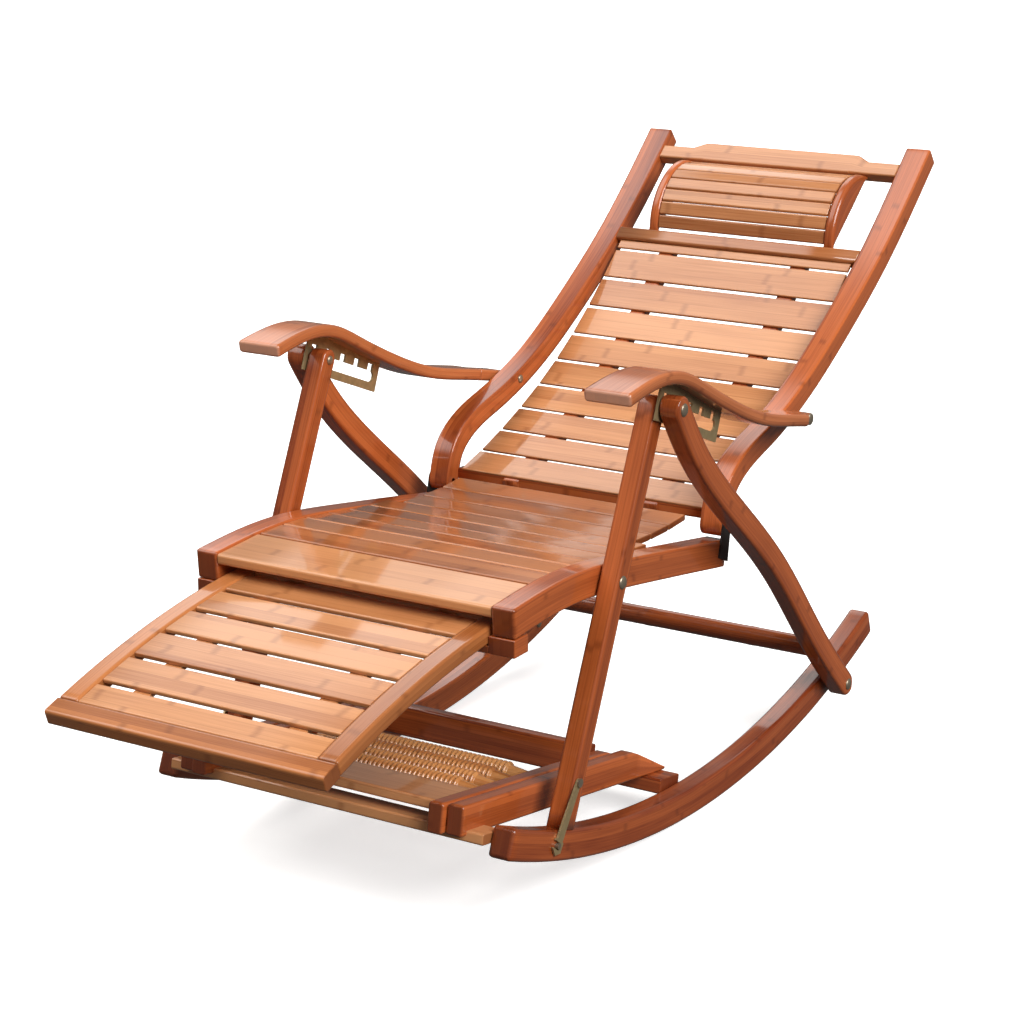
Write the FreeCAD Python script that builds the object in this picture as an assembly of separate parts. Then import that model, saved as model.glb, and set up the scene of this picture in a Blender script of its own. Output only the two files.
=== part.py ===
"""Folding bamboo rocking chair with a leg rest and a foot roller tray, in millimetres.

X runs across the chair, Y from the leg rest at the front to the back, Z up.
Side shapes are given as (y, z), with y counted from the point where the rockers meet the floor.
"""
import math
import os

from FreeCAD import Vector as V
import Part

# Overall layers across the chair, from the middle outwards
SLAT_HALF = 205.0
RAIL_INNER = 212.0
RAIL_OUTER = 246.0
LEG_INNER = 249.0
LEG_OUTER = 277.0
ROCKER_INNER = 244.0
BACK_LEG_INNER = 283.0
BACK_LEG_OUTER = 311.0
ARM_INNER = 249.0
ARM_OUTER = 306.0
PLATE_INNER = 278.5
PLATE_OUTER = 281.5

# Rockers
ROCKER_RADIUS = 1500.0
ROCKER_DEPTH = 41.0
ROCKER_FRONT = -599.0
ROCKER_REAR = 522.0

# Pivots in the side view
LEG_TOP = (-218.0, 621.0)
LEG_FOOT = (-451.0, 110.0)
REAR_BOLT = (354.0, 63.0)
SEAT_BOLT = (-316.0, 408.0)
BACK_PIVOT = (44.0, 388.0)
ARM_PIVOT = (240.0, 506.0)

# Legs and pole
FRONT_LEG_WIDTH = 29.0
BACK_LEG_WIDTH = 36.0
BACK_LEG_BOWS = ((0.10, -13.0), (0.22, -14.0), (0.41, 0.0), (0.56, 6.5), (0.80, -1.0))
POLE_CENTRE = (266.0, 146.0)
POLE_DIAMETER = 30.0

# Seat
SEAT_RAIL_LINE = ((-535, 408), (-437, 413), (-340, 409), (-240, 395), (-50, 363), (48, 346))
SEAT_RAIL_HEIGHT = 40.0
SEAT_TOP_LINE = (
    (-535, 426), (-437, 431), (-340, 427), (-240, 413.5),
    (-150, 402.5), (-80, 398), (-20, 397.5), (34, 400.5),
)
SLAT_THICKNESS = 9.0
SLAT_GAP = 3.0
SEAT_FRONT_SLAT = 92.0
SEAT_FRONT_THICKNESS = 15.0
SEAT_SLAT_PITCH = 52.6
SEAT_SHORT_SLATS = 3
SEAT_SHORT_HALF = 190.0
SEAT_BATTEN_THICKNESS = 6.0
SEAT_BATTEN_LENGTH = 215.0

# Leg rest, which slides on an arc under the seat
REST_RADIUS = 1500.0
REST_CREST = (-407.5, 402.3)
REST_FRONT = 489.6
REST_LENGTH = 418.0
REST_OUTER = 207.0
REST_RAIL = 29.0
REST_DEPTH = 22.0
REST_FRONT_RAIL = 30.0
REST_SLAT_COUNT = 7
REST_SLAT_PITCH = 63.5
REST_SLAT_GAP = 10.0
REST_FIRST_SLAT = 40.0
REST_FIRST_GAP = 1.0
REST_SLAT_DROP = 1.5
REST_SLAT_THICKNESS = 7.0
REST_BATTEN_THICKNESS = 7.0
GUIDE_GAP = 0.3
GUIDE_LENGTH = 34.0
GUIDE_DEPTH = 14.0

# Back
BACK_RAIL_LINE = ((746, 825.5), (567, 681), (434, 597), (306, 529), (183, 486), (105, 463), (58, 428))
BACK_RAIL_DEPTH = 32.0
BACK_RAIL_FLARE = 8.0
BACK_FLARE_START = 300.0
BACK_SLAT_LINE = ((548.5, 679), (441, 588), (343, 522), (229, 465), (110, 421), (50, 404))
BACK_SLAT_COUNT = 9
NARROW_SLAT = 21.1
NARROW_SLAT_GAP = 5.0
BACK_SLAT_GAP = 6.5
BACK_SLAT_THICKNESS = 4.5
BATTEN_X = 117.0
BATTEN_WIDTH = 26.0
BATTEN_THICKNESS = 16.0
TOP_RAIL = (708.5, 798.5)
TOP_RAIL_HEIGHT = 26.0
TOP_RAIL_CROWN = 12.0
TOP_CROWN_ENDS = (133.0, 155.0)
SECOND_RAIL = (560.0, 684.0)
SECOND_RAIL_HEIGHT = 24.0
CROSS_RAIL_THICKNESS = 20.0
BOTTOM_RAIL = (66.0, 396.0)
BOTTOM_RAIL_SIZE = 18.0
BACK_TILT = 40.0
HINGE_LENGTH = 26.0
HINGE_EAR = 12.0

# Head pillow of slats between two cheeks
PILLOW_OUTER = 164.0
PILLOW_INNER = 147.0
PILLOW_BULGE = 44.0
PILLOW_STRIPS = 8
PILLOW_FOOT = 8.0
PILLOW_SLAT_THICKNESS = 7.0

# Armrests and notch plates
ARM_LINE = (
    (-353, 660), (-300, 667), (-250, 668), (-200, 658),
    (-150, 636), (-50, 588), (55, 548), (150, 526),
)
ARM_THICKNESS = 18.0
ARM_END_RADIUS = 13.0
ARM_FRONT_FLARE = 13.0
ARM_FLARE_END = -120.0
ARM_BOARD_END = 190.0
ARM_TONGUE_STEP = 23.0
PLATE_FRONT = 18.0
PLATE_MARGIN = 12.0
PLATE_RISE = 60.0
SLOT_TILT = 21.5
SLOT_TRAVEL = 148.0
SLOT_HALF = 8.0
NOTCH_COUNT = 5
NOTCH_DEPTH = 11.0
NOTCH_HALF = 6.5
BOLT_RADIUS = 4.0
BOLT_HEAD_RADIUS = 9.0
BOLT_NUT_RADIUS = 6.5
BOLT_HEAD = 4.0
RUNNING_GAP = 0.05

# Hook latches
HOOK_PIVOT = (-431.0, 171.0)
HOOK_PIN = (-484.0, 103.0)
HOOK_INNER = 277.6
HOOK_OUTER = 280.4
HOOK_WIDTHS = (11.0, 16.0)
HOOK_HEAD_RADIUS = 13.0
HOOK_SLOT_HALF = 5.0
HOOK_SCREW_RADIUS = 6.0
HOOK_SCREW_HEAD = 2.0

# Foot roller tray
TRAY_FRONT = (-612.0, 190.0)
TRAY_REAR = (-70.0, 92.0)
TRAY_BAR_HEIGHT = 40.0
TRAY_OUTER_BAR = (196.0, 220.0)
TRAY_INNER_BAR = (173.0, 195.0)
TRAY_CHAMFER = (100.0, 36.0)
TRAY_INNER_ENDS = (-8.0, -30.0)
TRAY_BOARD = 14.0
TRAY_FRONT_BOARD = (22.0, 112.0)
TRAY_FRONT_DROP = 6.0
TRAY_REAR_BOARD = (396.0, 422.0)
TRAY_REAR_RISE = 8.0
TRAY_REAR_HEIGHT = 44.0
ROLLER_START = 146.0
ROLLER_PITCH = 42.0
ROLLER_COUNT = 4
ROLLER_RADIUS = 16.0
ROLLER_HALF = 160.0
ROLLER_CONE = 34.0
ROLLER_RIBS = 24
RIB_DEPTH = 3.0
AXLE_RADIUS = 4.0
CROSS_SLAT_DEPTH = 15.0
FRONT_SLAT = (12.0, 56.0)
FRONT_SLAT_DROP = 32.0
REAR_SLAT = (-59.0, -3.0)
REAR_SLAT_DEPTH = 22.0

SIDES = (("left", -1), ("right", 1))
parts = {}


def vec(point, x=0.0):
    return V(x, point[0], point[1])


def extrude_x(face, x0, x1):
    """Solid from a side-view face drawn at x = 0, between two planes across the chair."""
    solid = face.extrude(V(x1 - x0, 0, 0))
    solid.translate(V(x0, 0, 0))
    return solid


def polygon(points):
    corners = [vec(p) for p in points]
    return Part.Face(Part.makePolygon(corners + corners[:1]))


def rod(centre, radius, x0, x1):
    return Part.makeCylinder(radius, x1 - x0, vec(centre, x0), V(1, 0, 0))


def line_curve(points):
    curve = Part.BSplineCurve()
    curve.interpolate([vec(p) for p in points])
    return curve


def frame_at(curve, length):
    """Point, forward direction and left normal at an arc length along a side-view curve."""
    u = curve.parameterAtDistance(length, curve.FirstParameter)
    point = curve.value(u)
    along = curve.tangent(u)[0]
    return point, along, V(0, -along.z, along.y)


def band(points, upper, lower, samples=14):
    """Face between two curves offset to either side of a side-view line."""
    curve = line_curve(points)
    total = curve.length()
    stations = [frame_at(curve, total * i / (samples - 1)) for i in range(samples)]
    edges = []
    for offset in (upper, -lower):
        side = Part.BSplineCurve()
        side.interpolate([p + n * offset for p, t, n in stations])
        edges.append(side)
    top, bottom = edges
    outline = [
        top.toShape(),
        Part.makeLine(top.EndPoint, bottom.EndPoint),
        bottom.toShape(),
        Part.makeLine(bottom.StartPoint, top.StartPoint),
    ]
    return Part.Face(Part.Wire(Part.__sortEdges__(outline)))


def bar(start, end, half):
    """Straight bar outline of one width between two side-view points."""
    a, b = vec(start), vec(end)
    along = (b - a).normalize()
    side = V(0, -along.z, along.y) * half
    corners = [a + side, b + side, b - side, a - side, a + side]
    return Part.Face(Part.makePolygon(corners))


def slat(curve, start, width, thickness, drop, half):
    """Flat slat across the chair, laid with its top a little below a side-view curve."""
    p0, t0, n0 = frame_at(curve, start)
    p1, t1, n1 = frame_at(curve, start + width)
    along = (p1 - p0).normalize()
    up = V(0, -along.z, along.y)
    a = p0 - up * drop
    b = p1 - up * drop
    corners = [a, b, b - up * thickness, a - up * thickness, a]
    return extrude_x(Part.Face(Part.makePolygon(corners)), -half, half)


def mirrored(solid, side):
    if side > 0:
        return solid
    return solid.mirror(V(0, 0, 0), V(1, 0, 0))


def pair(name, solid):
    for label, side in SIDES:
        parts[f"{name}_{label}"] = mirrored(solid, side)


def both(solids):
    """Group of like solids on the two sides of the chair."""
    return Part.makeCompound([mirrored(s, side) for label, side in SIDES for s in solids])


# Rockers: laminated arcs that roll on the floor
ROCKER_TOP = ROCKER_RADIUS - ROCKER_DEPTH
ROCKER_CENTRE = (0.0, ROCKER_RADIUS)


def rocker_point(y, radius):
    turn = math.asin(y / ROCKER_RADIUS)
    return V(0, radius * math.sin(turn), ROCKER_RADIUS - radius * math.cos(turn))


front_low = rocker_point(ROCKER_FRONT, ROCKER_RADIUS)
front_high = rocker_point(ROCKER_FRONT, ROCKER_TOP)
rear_low = rocker_point(ROCKER_REAR, ROCKER_RADIUS)
rear_high = rocker_point(ROCKER_REAR, ROCKER_TOP)
rocker_outline = Part.Wire([
    Part.Arc(front_low, V(0, 0, 0), rear_low).toShape(),
    Part.makeLine(rear_low, rear_high),
    Part.Arc(rear_high, V(0, 0, ROCKER_DEPTH), front_high).toShape(),
    Part.makeLine(front_high, front_low),
])
rocker = extrude_x(Part.Face(rocker_outline), ROCKER_INNER, LEG_OUTER)
rocker = rocker.cut(rod(REAR_BOLT, BOLT_RADIUS, ROCKER_INNER, LEG_OUTER))
rocker = rocker.cut(rod(HOOK_PIN, BOLT_RADIUS, ROCKER_INNER, LEG_OUTER))
above_rockers = rod(ROCKER_CENTRE, ROCKER_TOP, -BACK_LEG_OUTER, BACK_LEG_OUTER)
pair("rocker", rocker)

# Front legs stand on the rockers and carry the seat
leg_half = FRONT_LEG_WIDTH / 2
foot = vec(LEG_FOOT) + (vec(LEG_FOOT) - vec(LEG_TOP)).normalize() * FRONT_LEG_WIDTH
leg_face = bar((foot.y, foot.z), LEG_TOP, leg_half)
front_leg = extrude_x(leg_face, LEG_INNER, LEG_OUTER)
front_leg = front_leg.fuse(rod(LEG_TOP, leg_half, LEG_INNER, LEG_OUTER)).removeSplitter()
front_leg = front_leg.common(above_rockers)
for hole in (LEG_TOP, SEAT_BOLT, HOOK_PIVOT):
    front_leg = front_leg.cut(rod(hole, BOLT_RADIUS, LEG_INNER, LEG_OUTER))
pair("front_leg", front_leg)

# Back legs curve down outside the rockers to the rear bolts
chord = vec(REAR_BOLT) - vec(LEG_TOP)
chord_side = V(0, -chord.z, chord.y).normalize()
leg_line = [LEG_TOP]
for share, bow in BACK_LEG_BOWS:
    bowed = vec(LEG_TOP) + chord * share + chord_side * bow
    leg_line.append((bowed.y, bowed.z))
leg_line.append(REAR_BOLT)
back_half = BACK_LEG_WIDTH / 2
back_leg = extrude_x(band(leg_line, back_half, back_half), BACK_LEG_INNER, BACK_LEG_OUTER)
for end in (LEG_TOP, REAR_BOLT):
    back_leg = back_leg.fuse(rod(end, back_half, BACK_LEG_INNER, BACK_LEG_OUTER))
back_leg = back_leg.removeSplitter()
for hole in (LEG_TOP, REAR_BOLT):
    back_leg = back_leg.cut(rod(hole, BOLT_RADIUS, BACK_LEG_INNER, BACK_LEG_OUTER))
pair("back_leg", back_leg)

# Round pole that ties the back legs together
parts["back_pole"] = rod(POLE_CENTRE, POLE_DIAMETER / 2, -BACK_LEG_INNER, BACK_LEG_INNER)

# Seat rails and the slats between them
seat_half = SEAT_RAIL_HEIGHT / 2
seat_rail = extrude_x(band(SEAT_RAIL_LINE, seat_half, seat_half), RAIL_INNER, RAIL_OUTER)
seat_rail = seat_rail.cut(rod(SEAT_BOLT, BOLT_RADIUS, RAIL_INNER, RAIL_OUTER))
pair("seat_rail", seat_rail)

seat_top = line_curve(SEAT_TOP_LINE)
parts["seat_front_slat"] = slat(seat_top, 0.0, SEAT_FRONT_SLAT, SEAT_FRONT_THICKNESS, 0.0, RAIL_INNER)
seat_slat_count = int((seat_top.length() - SEAT_FRONT_SLAT) // SEAT_SLAT_PITCH)
seat_slats = []
for i in range(seat_slat_count):
    start = SEAT_FRONT_SLAT + SLAT_GAP + i * SEAT_SLAT_PITCH
    width = SEAT_SLAT_PITCH - SLAT_GAP
    half = RAIL_INNER if i < seat_slat_count - SEAT_SHORT_SLATS else SEAT_SHORT_HALF
    seat_slats.append(slat(seat_top, start, width, SLAT_THICKNESS, 0.0, half))
parts["seat_slats"] = Part.makeCompound(seat_slats)

# Battens under the rear of the seat carry the slats that stop short of the rails
seat_end = SEAT_FRONT_SLAT + SLAT_GAP + seat_slat_count * SEAT_SLAT_PITCH - SLAT_GAP
batten_sides = (BATTEN_X - BATTEN_WIDTH / 2, BATTEN_X + BATTEN_WIDTH / 2)
batten_points = []
for i in range(6):
    p, t, n = frame_at(seat_top, seat_end - SEAT_BATTEN_LENGTH * (1 - i / 5))
    batten_points.append((p.y, p.z))
seat_batten = extrude_x(band(batten_points, 0.0, SLAT_THICKNESS + SEAT_BATTEN_THICKNESS), *batten_sides)
for seat_slat in seat_slats:
    seat_batten = seat_batten.cut(seat_slat)
parts["seat_battens"] = both([max(seat_batten.Solids, key=lambda s: s.Volume)])

# Leg rest: curved rails, a front rail, and slats with two battens under them, all on one arc
rest_centre = vec(REST_CREST) - V(0, 0, REST_RADIUS)


def rest_point(length, radius):
    """Point on the leg rest at a length back from its front end, at a radius of its arc."""
    turn = (REST_FRONT - length) / REST_RADIUS
    return rest_centre + V(0, -radius * math.sin(turn), radius * math.cos(turn))


def rest_piece(start, end, drop, thickness, x0, x1):
    top = REST_RADIUS - drop
    low = top - thickness
    middle = (start + end) / 2
    outline = Part.Wire([
        Part.Arc(rest_point(start, top), rest_point(middle, top), rest_point(end, top)).toShape(),
        Part.makeLine(rest_point(end, top), rest_point(end, low)),
        Part.Arc(rest_point(end, low), rest_point(middle, low), rest_point(start, low)).toShape(),
        Part.makeLine(rest_point(start, low), rest_point(start, top)),
    ])
    return extrude_x(Part.Face(outline), x0, x1)


rest_inner = REST_OUTER - REST_RAIL
pair("leg_rest_rail", rest_piece(REST_FRONT_RAIL, REST_LENGTH, 0.0, REST_DEPTH, rest_inner, REST_OUTER))
parts["leg_rest_front_rail"] = rest_piece(0.0, REST_FRONT_RAIL, 0.0, REST_DEPTH, -REST_OUTER, REST_OUTER)
rest_slats = []
for i in range(REST_SLAT_COUNT):
    end = min(REST_FRONT_RAIL + REST_FIRST_SLAT + i * REST_SLAT_PITCH, REST_LENGTH)
    start = REST_FRONT_RAIL + REST_FIRST_SLAT + (i - 1) * REST_SLAT_PITCH + REST_SLAT_GAP
    start = max(start, REST_FRONT_RAIL + REST_FIRST_GAP)
    rest_slats.append(rest_piece(start, end, REST_SLAT_DROP, REST_SLAT_THICKNESS, -rest_inner, rest_inner))
parts["leg_rest_slats"] = Part.makeCompound(rest_slats + [
    rest_piece(
        REST_FRONT_RAIL, REST_LENGTH, REST_SLAT_DROP + REST_SLAT_THICKNESS, REST_BATTEN_THICKNESS,
        side * BATTEN_X - BATTEN_WIDTH / 2, side * BATTEN_X + BATTEN_WIDTH / 2)
    for label, side in SIDES])

# Guide blocks under the seat rails' front ends, each with a lip below the leg rest's rail
guide_start = SEAT_RAIL_LINE[0][0]
guide_end = guide_start + GUIDE_LENGTH
guide_low = rest_point(REST_LENGTH, REST_RADIUS - REST_DEPTH).z - GUIDE_DEPTH
guide_high = SEAT_RAIL_LINE[0][1]
guide = extrude_x(polygon((
    (guide_start, guide_low), (guide_end, guide_low), (guide_end, guide_high), (guide_start, guide_high),
)), rest_inner, RAIL_OUTER)
guide = guide.cut(extrude_x(band(SEAT_RAIL_LINE, seat_half, seat_half), 0.0, RAIL_OUTER))
guide = guide.cut(rest_piece(
    0.0, REST_LENGTH, -GUIDE_GAP, REST_DEPTH + 2 * GUIDE_GAP, 0.0, REST_OUTER + GUIDE_GAP))
parts["guide_blocks"] = both([max(guide.Solids, key=lambda s: s.Volume)])

# Back rails, cross rails, battens and slats
back_depth = BACK_RAIL_DEPTH / 2
back_line = BACK_RAIL_LINE + (BACK_PIVOT,)
back_rail = extrude_x(band(back_line, back_depth, back_depth), RAIL_INNER, RAIL_OUTER + BACK_RAIL_FLARE)
rail_ends = (BACK_PIVOT[0] - BACK_RAIL_DEPTH, BACK_RAIL_LINE[0][0] + BACK_RAIL_DEPTH)
rail_plan = [
    V(RAIL_INNER, rail_ends[0], 0), V(RAIL_OUTER, rail_ends[0], 0), V(RAIL_OUTER, BACK_FLARE_START, 0),
    V(RAIL_OUTER + BACK_RAIL_FLARE, rail_ends[1], 0), V(RAIL_INNER, rail_ends[1], 0),
]
rail_solid = Part.Face(Part.makePolygon(rail_plan + rail_plan[:1])).extrude(V(0, 0, BACK_RAIL_LINE[0][1] * 2))
back_rail = back_rail.common(rail_solid)
back_rail = back_rail.fuse(rod(BACK_PIVOT, back_depth, RAIL_INNER, RAIL_OUTER)).removeSplitter()
back_rail = back_rail.cut(rod(BACK_PIVOT, BOLT_RADIUS + RUNNING_GAP, RAIL_INNER, RAIL_OUTER))
back_rail = back_rail.cut(rod(ARM_PIVOT, BOLT_RADIUS, RAIL_INNER, RAIL_OUTER))
pair("back_rail", back_rail)

tilt = math.radians(BACK_TILT)
back_up = V(0, math.cos(tilt), math.sin(tilt))
back_out = V(0, -math.sin(tilt), math.cos(tilt))


def cross_rail(centre, height, thickness, crown):
    """Rail across the back, with its upper edge stepping up to a crown between two short slopes."""
    low = vec(centre) - back_up * (height / 2) - back_out * (thickness / 2)
    flat_end, slope_end = TOP_CROWN_ENDS
    outline = [(-RAIL_INNER, 0.0), (RAIL_INNER, 0.0), (RAIL_INNER, height), (slope_end, height)]
    outline += [(flat_end, height + crown), (-flat_end, height + crown)]
    outline += [(-slope_end, height), (-RAIL_INNER, height)]
    corners = [low + V(x, 0, 0) + back_up * rise for x, rise in outline]
    return Part.Face(Part.makePolygon(corners + corners[:1])).extrude(back_out * thickness)


parts["top_rail"] = cross_rail(TOP_RAIL, TOP_RAIL_HEIGHT, CROSS_RAIL_THICKNESS, TOP_RAIL_CROWN)
second_middle = vec(SECOND_RAIL)
second_face = bar(
    tuple((second_middle - back_up * (SECOND_RAIL_HEIGHT / 2)))[1:],
    tuple((second_middle + back_up * (SECOND_RAIL_HEIGHT / 2)))[1:],
    CROSS_RAIL_THICKNESS / 2,
)
parts["second_rail"] = extrude_x(second_face, -RAIL_INNER, RAIL_INNER)

slat_line = line_curve(BACK_SLAT_LINE)
slat_span = slat_line.length() - NARROW_SLAT
back_pitch = slat_span / BACK_SLAT_COUNT
narrow_width = NARROW_SLAT - NARROW_SLAT_GAP
parts["back_narrow_slat"] = slat(slat_line, 0.0, narrow_width, -BACK_SLAT_THICKNESS, 0.0, SLAT_HALF)
parts["back_narrow_slat"] = parts["back_narrow_slat"].cut(parts["second_rail"])
for i in range(BACK_SLAT_COUNT):
    start = NARROW_SLAT + i * back_pitch
    width = back_pitch - BACK_SLAT_GAP
    parts[f"back_slat_{i + 1}"] = slat(slat_line, start, width, -BACK_SLAT_THICKNESS, 0.0, SLAT_HALF)

batten_face = band(BACK_SLAT_LINE, BACK_SLAT_THICKNESS + BATTEN_THICKNESS, -BACK_SLAT_THICKNESS)
batten = extrude_x(batten_face, *batten_sides)
for name in [n for n in parts if n.startswith("back_slat") or n in ("second_rail", "back_narrow_slat")]:
    batten = batten.cut(parts[name])
parts["back_battens"] = both([batten])

bottom_face = bar(
    (BOTTOM_RAIL[0] - BOTTOM_RAIL_SIZE / 2, BOTTOM_RAIL[1]),
    (BOTTOM_RAIL[0] + BOTTOM_RAIL_SIZE / 2, BOTTOM_RAIL[1]),
    BOTTOM_RAIL_SIZE / 2,
)
bottom_rail = extrude_x(bottom_face, -RAIL_INNER, RAIL_INNER)
for name in [n for n in parts if n.startswith("back_slat") or n.startswith("back_batten")]:
    bottom_rail = bottom_rail.cut(parts[name])
parts["back_bottom_rail"] = bottom_rail

# Head pillow: two D-shaped cheeks with slats round their fronts, open at the foot
pillow_low = vec(SECOND_RAIL) + back_up * (SECOND_RAIL_HEIGHT / 2)
pillow_high = vec(TOP_RAIL) - back_up * (TOP_RAIL_HEIGHT / 2)
pillow_middle = (pillow_low + pillow_high) * 0.5
pillow_half = (pillow_high - pillow_low).Length / 2
pillow_up = (pillow_high - pillow_low).normalize()
pillow_out = V(0, -pillow_up.z, pillow_up.y)
pillow_radius = (pillow_half ** 2 + PILLOW_BULGE ** 2) / (2 * PILLOW_BULGE)
pillow_centre = pillow_middle + pillow_out * (PILLOW_BULGE - pillow_radius)


def pillow_face(shrink):
    low = pillow_low + pillow_up * shrink
    high = pillow_high - pillow_up * shrink
    crest = pillow_middle + pillow_out * (PILLOW_BULGE - shrink)
    arc = Part.Arc(low, crest, high).toShape()
    return Part.Face(Part.Wire([arc, Part.makeLine(high, low)]))


def pillow_ray(along):
    """Point well in front of the pillow, on the line from its curve's centre to a length along its front."""
    turn = along / pillow_radius - math.asin(pillow_half / pillow_radius)
    return pillow_centre + (pillow_up * math.sin(turn) + pillow_out * math.cos(turn)) * (pillow_radius * 2)


cheek = extrude_x(pillow_face(0.0), PILLOW_INNER, PILLOW_OUTER)
pair("pillow_cheek", cheek)
shell = extrude_x(pillow_face(0.0), -PILLOW_INNER, PILLOW_INNER)
shell = shell.cut(extrude_x(pillow_face(PILLOW_SLAT_THICKNESS), -PILLOW_INNER, PILLOW_INNER))
pillow_front = 2 * pillow_radius * math.asin(pillow_half / pillow_radius)
strip_pitch = (pillow_front - PILLOW_FOOT) / PILLOW_STRIPS
pillow_slats = []
for i in range(PILLOW_STRIPS):
    low = pillow_ray(PILLOW_FOOT + i * strip_pitch + SLAT_GAP / 2)
    high = pillow_ray(PILLOW_FOOT + (i + 1) * strip_pitch - SLAT_GAP / 2)
    cell = Part.Face(Part.makePolygon([pillow_centre, low, high, pillow_centre]))
    pillow_slats.append(shell.common(extrude_x(cell, -PILLOW_INNER, PILLOW_INNER)))
parts["pillow_slats"] = Part.makeCompound([max(p.Solids, key=lambda s: s.Volume) for p in pillow_slats])

# Armrests pivot on the back rails; each carries a notch plate for the leg-top bolt
arm_half = ARM_THICKNESS / 2
arm_line = ARM_LINE + (ARM_PIVOT,)
tongue_x = ARM_OUTER - ARM_TONGUE_STEP
armrest = extrude_x(band(arm_line, arm_half, arm_half), ARM_INNER - ARM_FRONT_FLARE, ARM_OUTER)
armrest = armrest.fuse(rod(ARM_PIVOT, ARM_END_RADIUS, ARM_INNER, tongue_x)).removeSplitter()
front_y = ARM_LINE[0][0] - ARM_THICKNESS
rear_y = ARM_PIVOT[0] + ARM_END_RADIUS
plan = [
    V(ARM_INNER - ARM_FRONT_FLARE, front_y, 0), V(ARM_OUTER, front_y, 0), V(ARM_OUTER, ARM_BOARD_END, 0),
    V(tongue_x, ARM_BOARD_END, 0), V(tongue_x, rear_y, 0),
    V(ARM_INNER, rear_y, 0), V(ARM_INNER, ARM_FLARE_END, 0),
]
plan_solid = Part.Face(Part.makePolygon(plan + plan[:1])).extrude(V(0, 0, LEG_TOP[1] * 2))
armrest = armrest.common(plan_solid)
armrest = armrest.cut(rod(ARM_PIVOT, BOLT_RADIUS + RUNNING_GAP, ARM_INNER, ARM_OUTER))
pair("armrest", armrest)

slot_turn = math.radians(SLOT_TILT)
travel = V(0, math.cos(slot_turn), -math.sin(slot_turn))
slot_side = V(0, -travel.z, travel.y)
slot_start = vec(LEG_TOP) - travel * BOLT_RADIUS
slot_end = vec(LEG_TOP) + travel * (SLOT_TRAVEL + BOLT_RADIUS)
plate_low = slot_side * -(SLOT_HALF + PLATE_MARGIN)
plate_front = vec(LEG_TOP) - travel * PLATE_FRONT
plate_rear = slot_end + travel * (SLOT_HALF + PLATE_MARGIN)
plate_corners = [
    plate_front + plate_low, plate_rear + plate_low,
    plate_rear + slot_side * PLATE_RISE, plate_front + slot_side * PLATE_RISE,
]
plate = extrude_x(Part.Face(Part.makePolygon(plate_corners + plate_corners[:1])), PLATE_INNER, PLATE_OUTER)
plate = plate.cut(armrest)
slot_face = bar((slot_start.y, slot_start.z), (slot_end.y, slot_end.z), SLOT_HALF)
plate = plate.cut(extrude_x(slot_face, PLATE_INNER, PLATE_OUTER))
for end in (slot_start, slot_end):
    plate = plate.cut(rod((end.y, end.z), SLOT_HALF, PLATE_INNER, PLATE_OUTER))
notch_pitch = SLOT_TRAVEL / (NOTCH_COUNT - 1)
for i in range(NOTCH_COUNT):
    base = vec(LEG_TOP) + travel * (i * notch_pitch)
    tip = base + slot_side * (SLOT_HALF + NOTCH_DEPTH)
    notch = extrude_x(bar((base.y, base.z), (tip.y, tip.z), NOTCH_HALF), PLATE_INNER, PLATE_OUTER)
    plate = plate.cut(notch)
plate = max(plate.Solids, key=lambda s: s.Volume)
pair("notch_plate", plate)


def bolt(centre, x0, x1):
    """Bolt across a side of the chair, with a round nut inside and a wider head outside."""
    shank = rod(centre, BOLT_RADIUS, x0, x1)
    inner = rod(centre, BOLT_NUT_RADIUS, x0 - BOLT_HEAD, x0)
    outer = rod(centre, BOLT_HEAD_RADIUS, x1, x1 + BOLT_HEAD)
    return shank.fuse([inner, outer]).removeSplitter()


parts["leg_bolts"] = both([
    bolt(LEG_TOP, LEG_INNER, BACK_LEG_OUTER),
    bolt(REAR_BOLT, ROCKER_INNER, BACK_LEG_OUTER),
    bolt(SEAT_BOLT, RAIL_INNER, LEG_OUTER),
])
parts["arm_bolts"] = both([bolt(ARM_PIVOT, RAIL_INNER, tongue_x)])

# Steel hinge plates at the rear of the seat rails, with the pins that the back turns on
hinge_y, hinge_z = SEAT_RAIL_LINE[-1]
hinge_face = polygon((
    (hinge_y - HINGE_LENGTH, hinge_z), (hinge_y, hinge_z - HINGE_EAR),
    (BACK_PIVOT[0] + HINGE_EAR, BACK_PIVOT[1]), (BACK_PIVOT[0] - HINGE_EAR, BACK_PIVOT[1]),
))
hinge = extrude_x(hinge_face, RAIL_OUTER, LEG_INNER)
hinge = hinge.fuse(rod(BACK_PIVOT, HINGE_EAR, RAIL_OUTER, LEG_INNER))
hinge = hinge.fuse(rod(BACK_PIVOT, BOLT_RADIUS, RAIL_INNER, LEG_INNER)).removeSplitter()
pair("back_hinge", hinge)

# Brass hooks on the front legs and the pins that they hold on the rockers
arm_way = (vec(HOOK_PIN) - vec(HOOK_PIVOT)).normalize()
arm_side = V(0, -arm_way.z, arm_way.y)
top_half, low_half = (width / 2 for width in HOOK_WIDTHS)
hook_outline = [
    vec(HOOK_PIVOT) + arm_side * top_half, vec(HOOK_PIN) + arm_side * low_half,
    vec(HOOK_PIN) - arm_side * low_half, vec(HOOK_PIVOT) - arm_side * top_half,
]
hook_head = []
for i in range(6):
    turn = math.radians(60 * i)
    corner = arm_way * math.cos(turn) + arm_side * math.sin(turn)
    hook_head.append(vec(HOOK_PIN) + corner * HOOK_HEAD_RADIUS)
hook = rod(HOOK_PIVOT, top_half, HOOK_INNER, HOOK_OUTER)
for corners in (hook_outline, hook_head):
    face = Part.Face(Part.makePolygon(corners + corners[:1]))
    hook = hook.fuse(extrude_x(face, HOOK_INNER, HOOK_OUTER))
hook = hook.removeSplitter()
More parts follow.
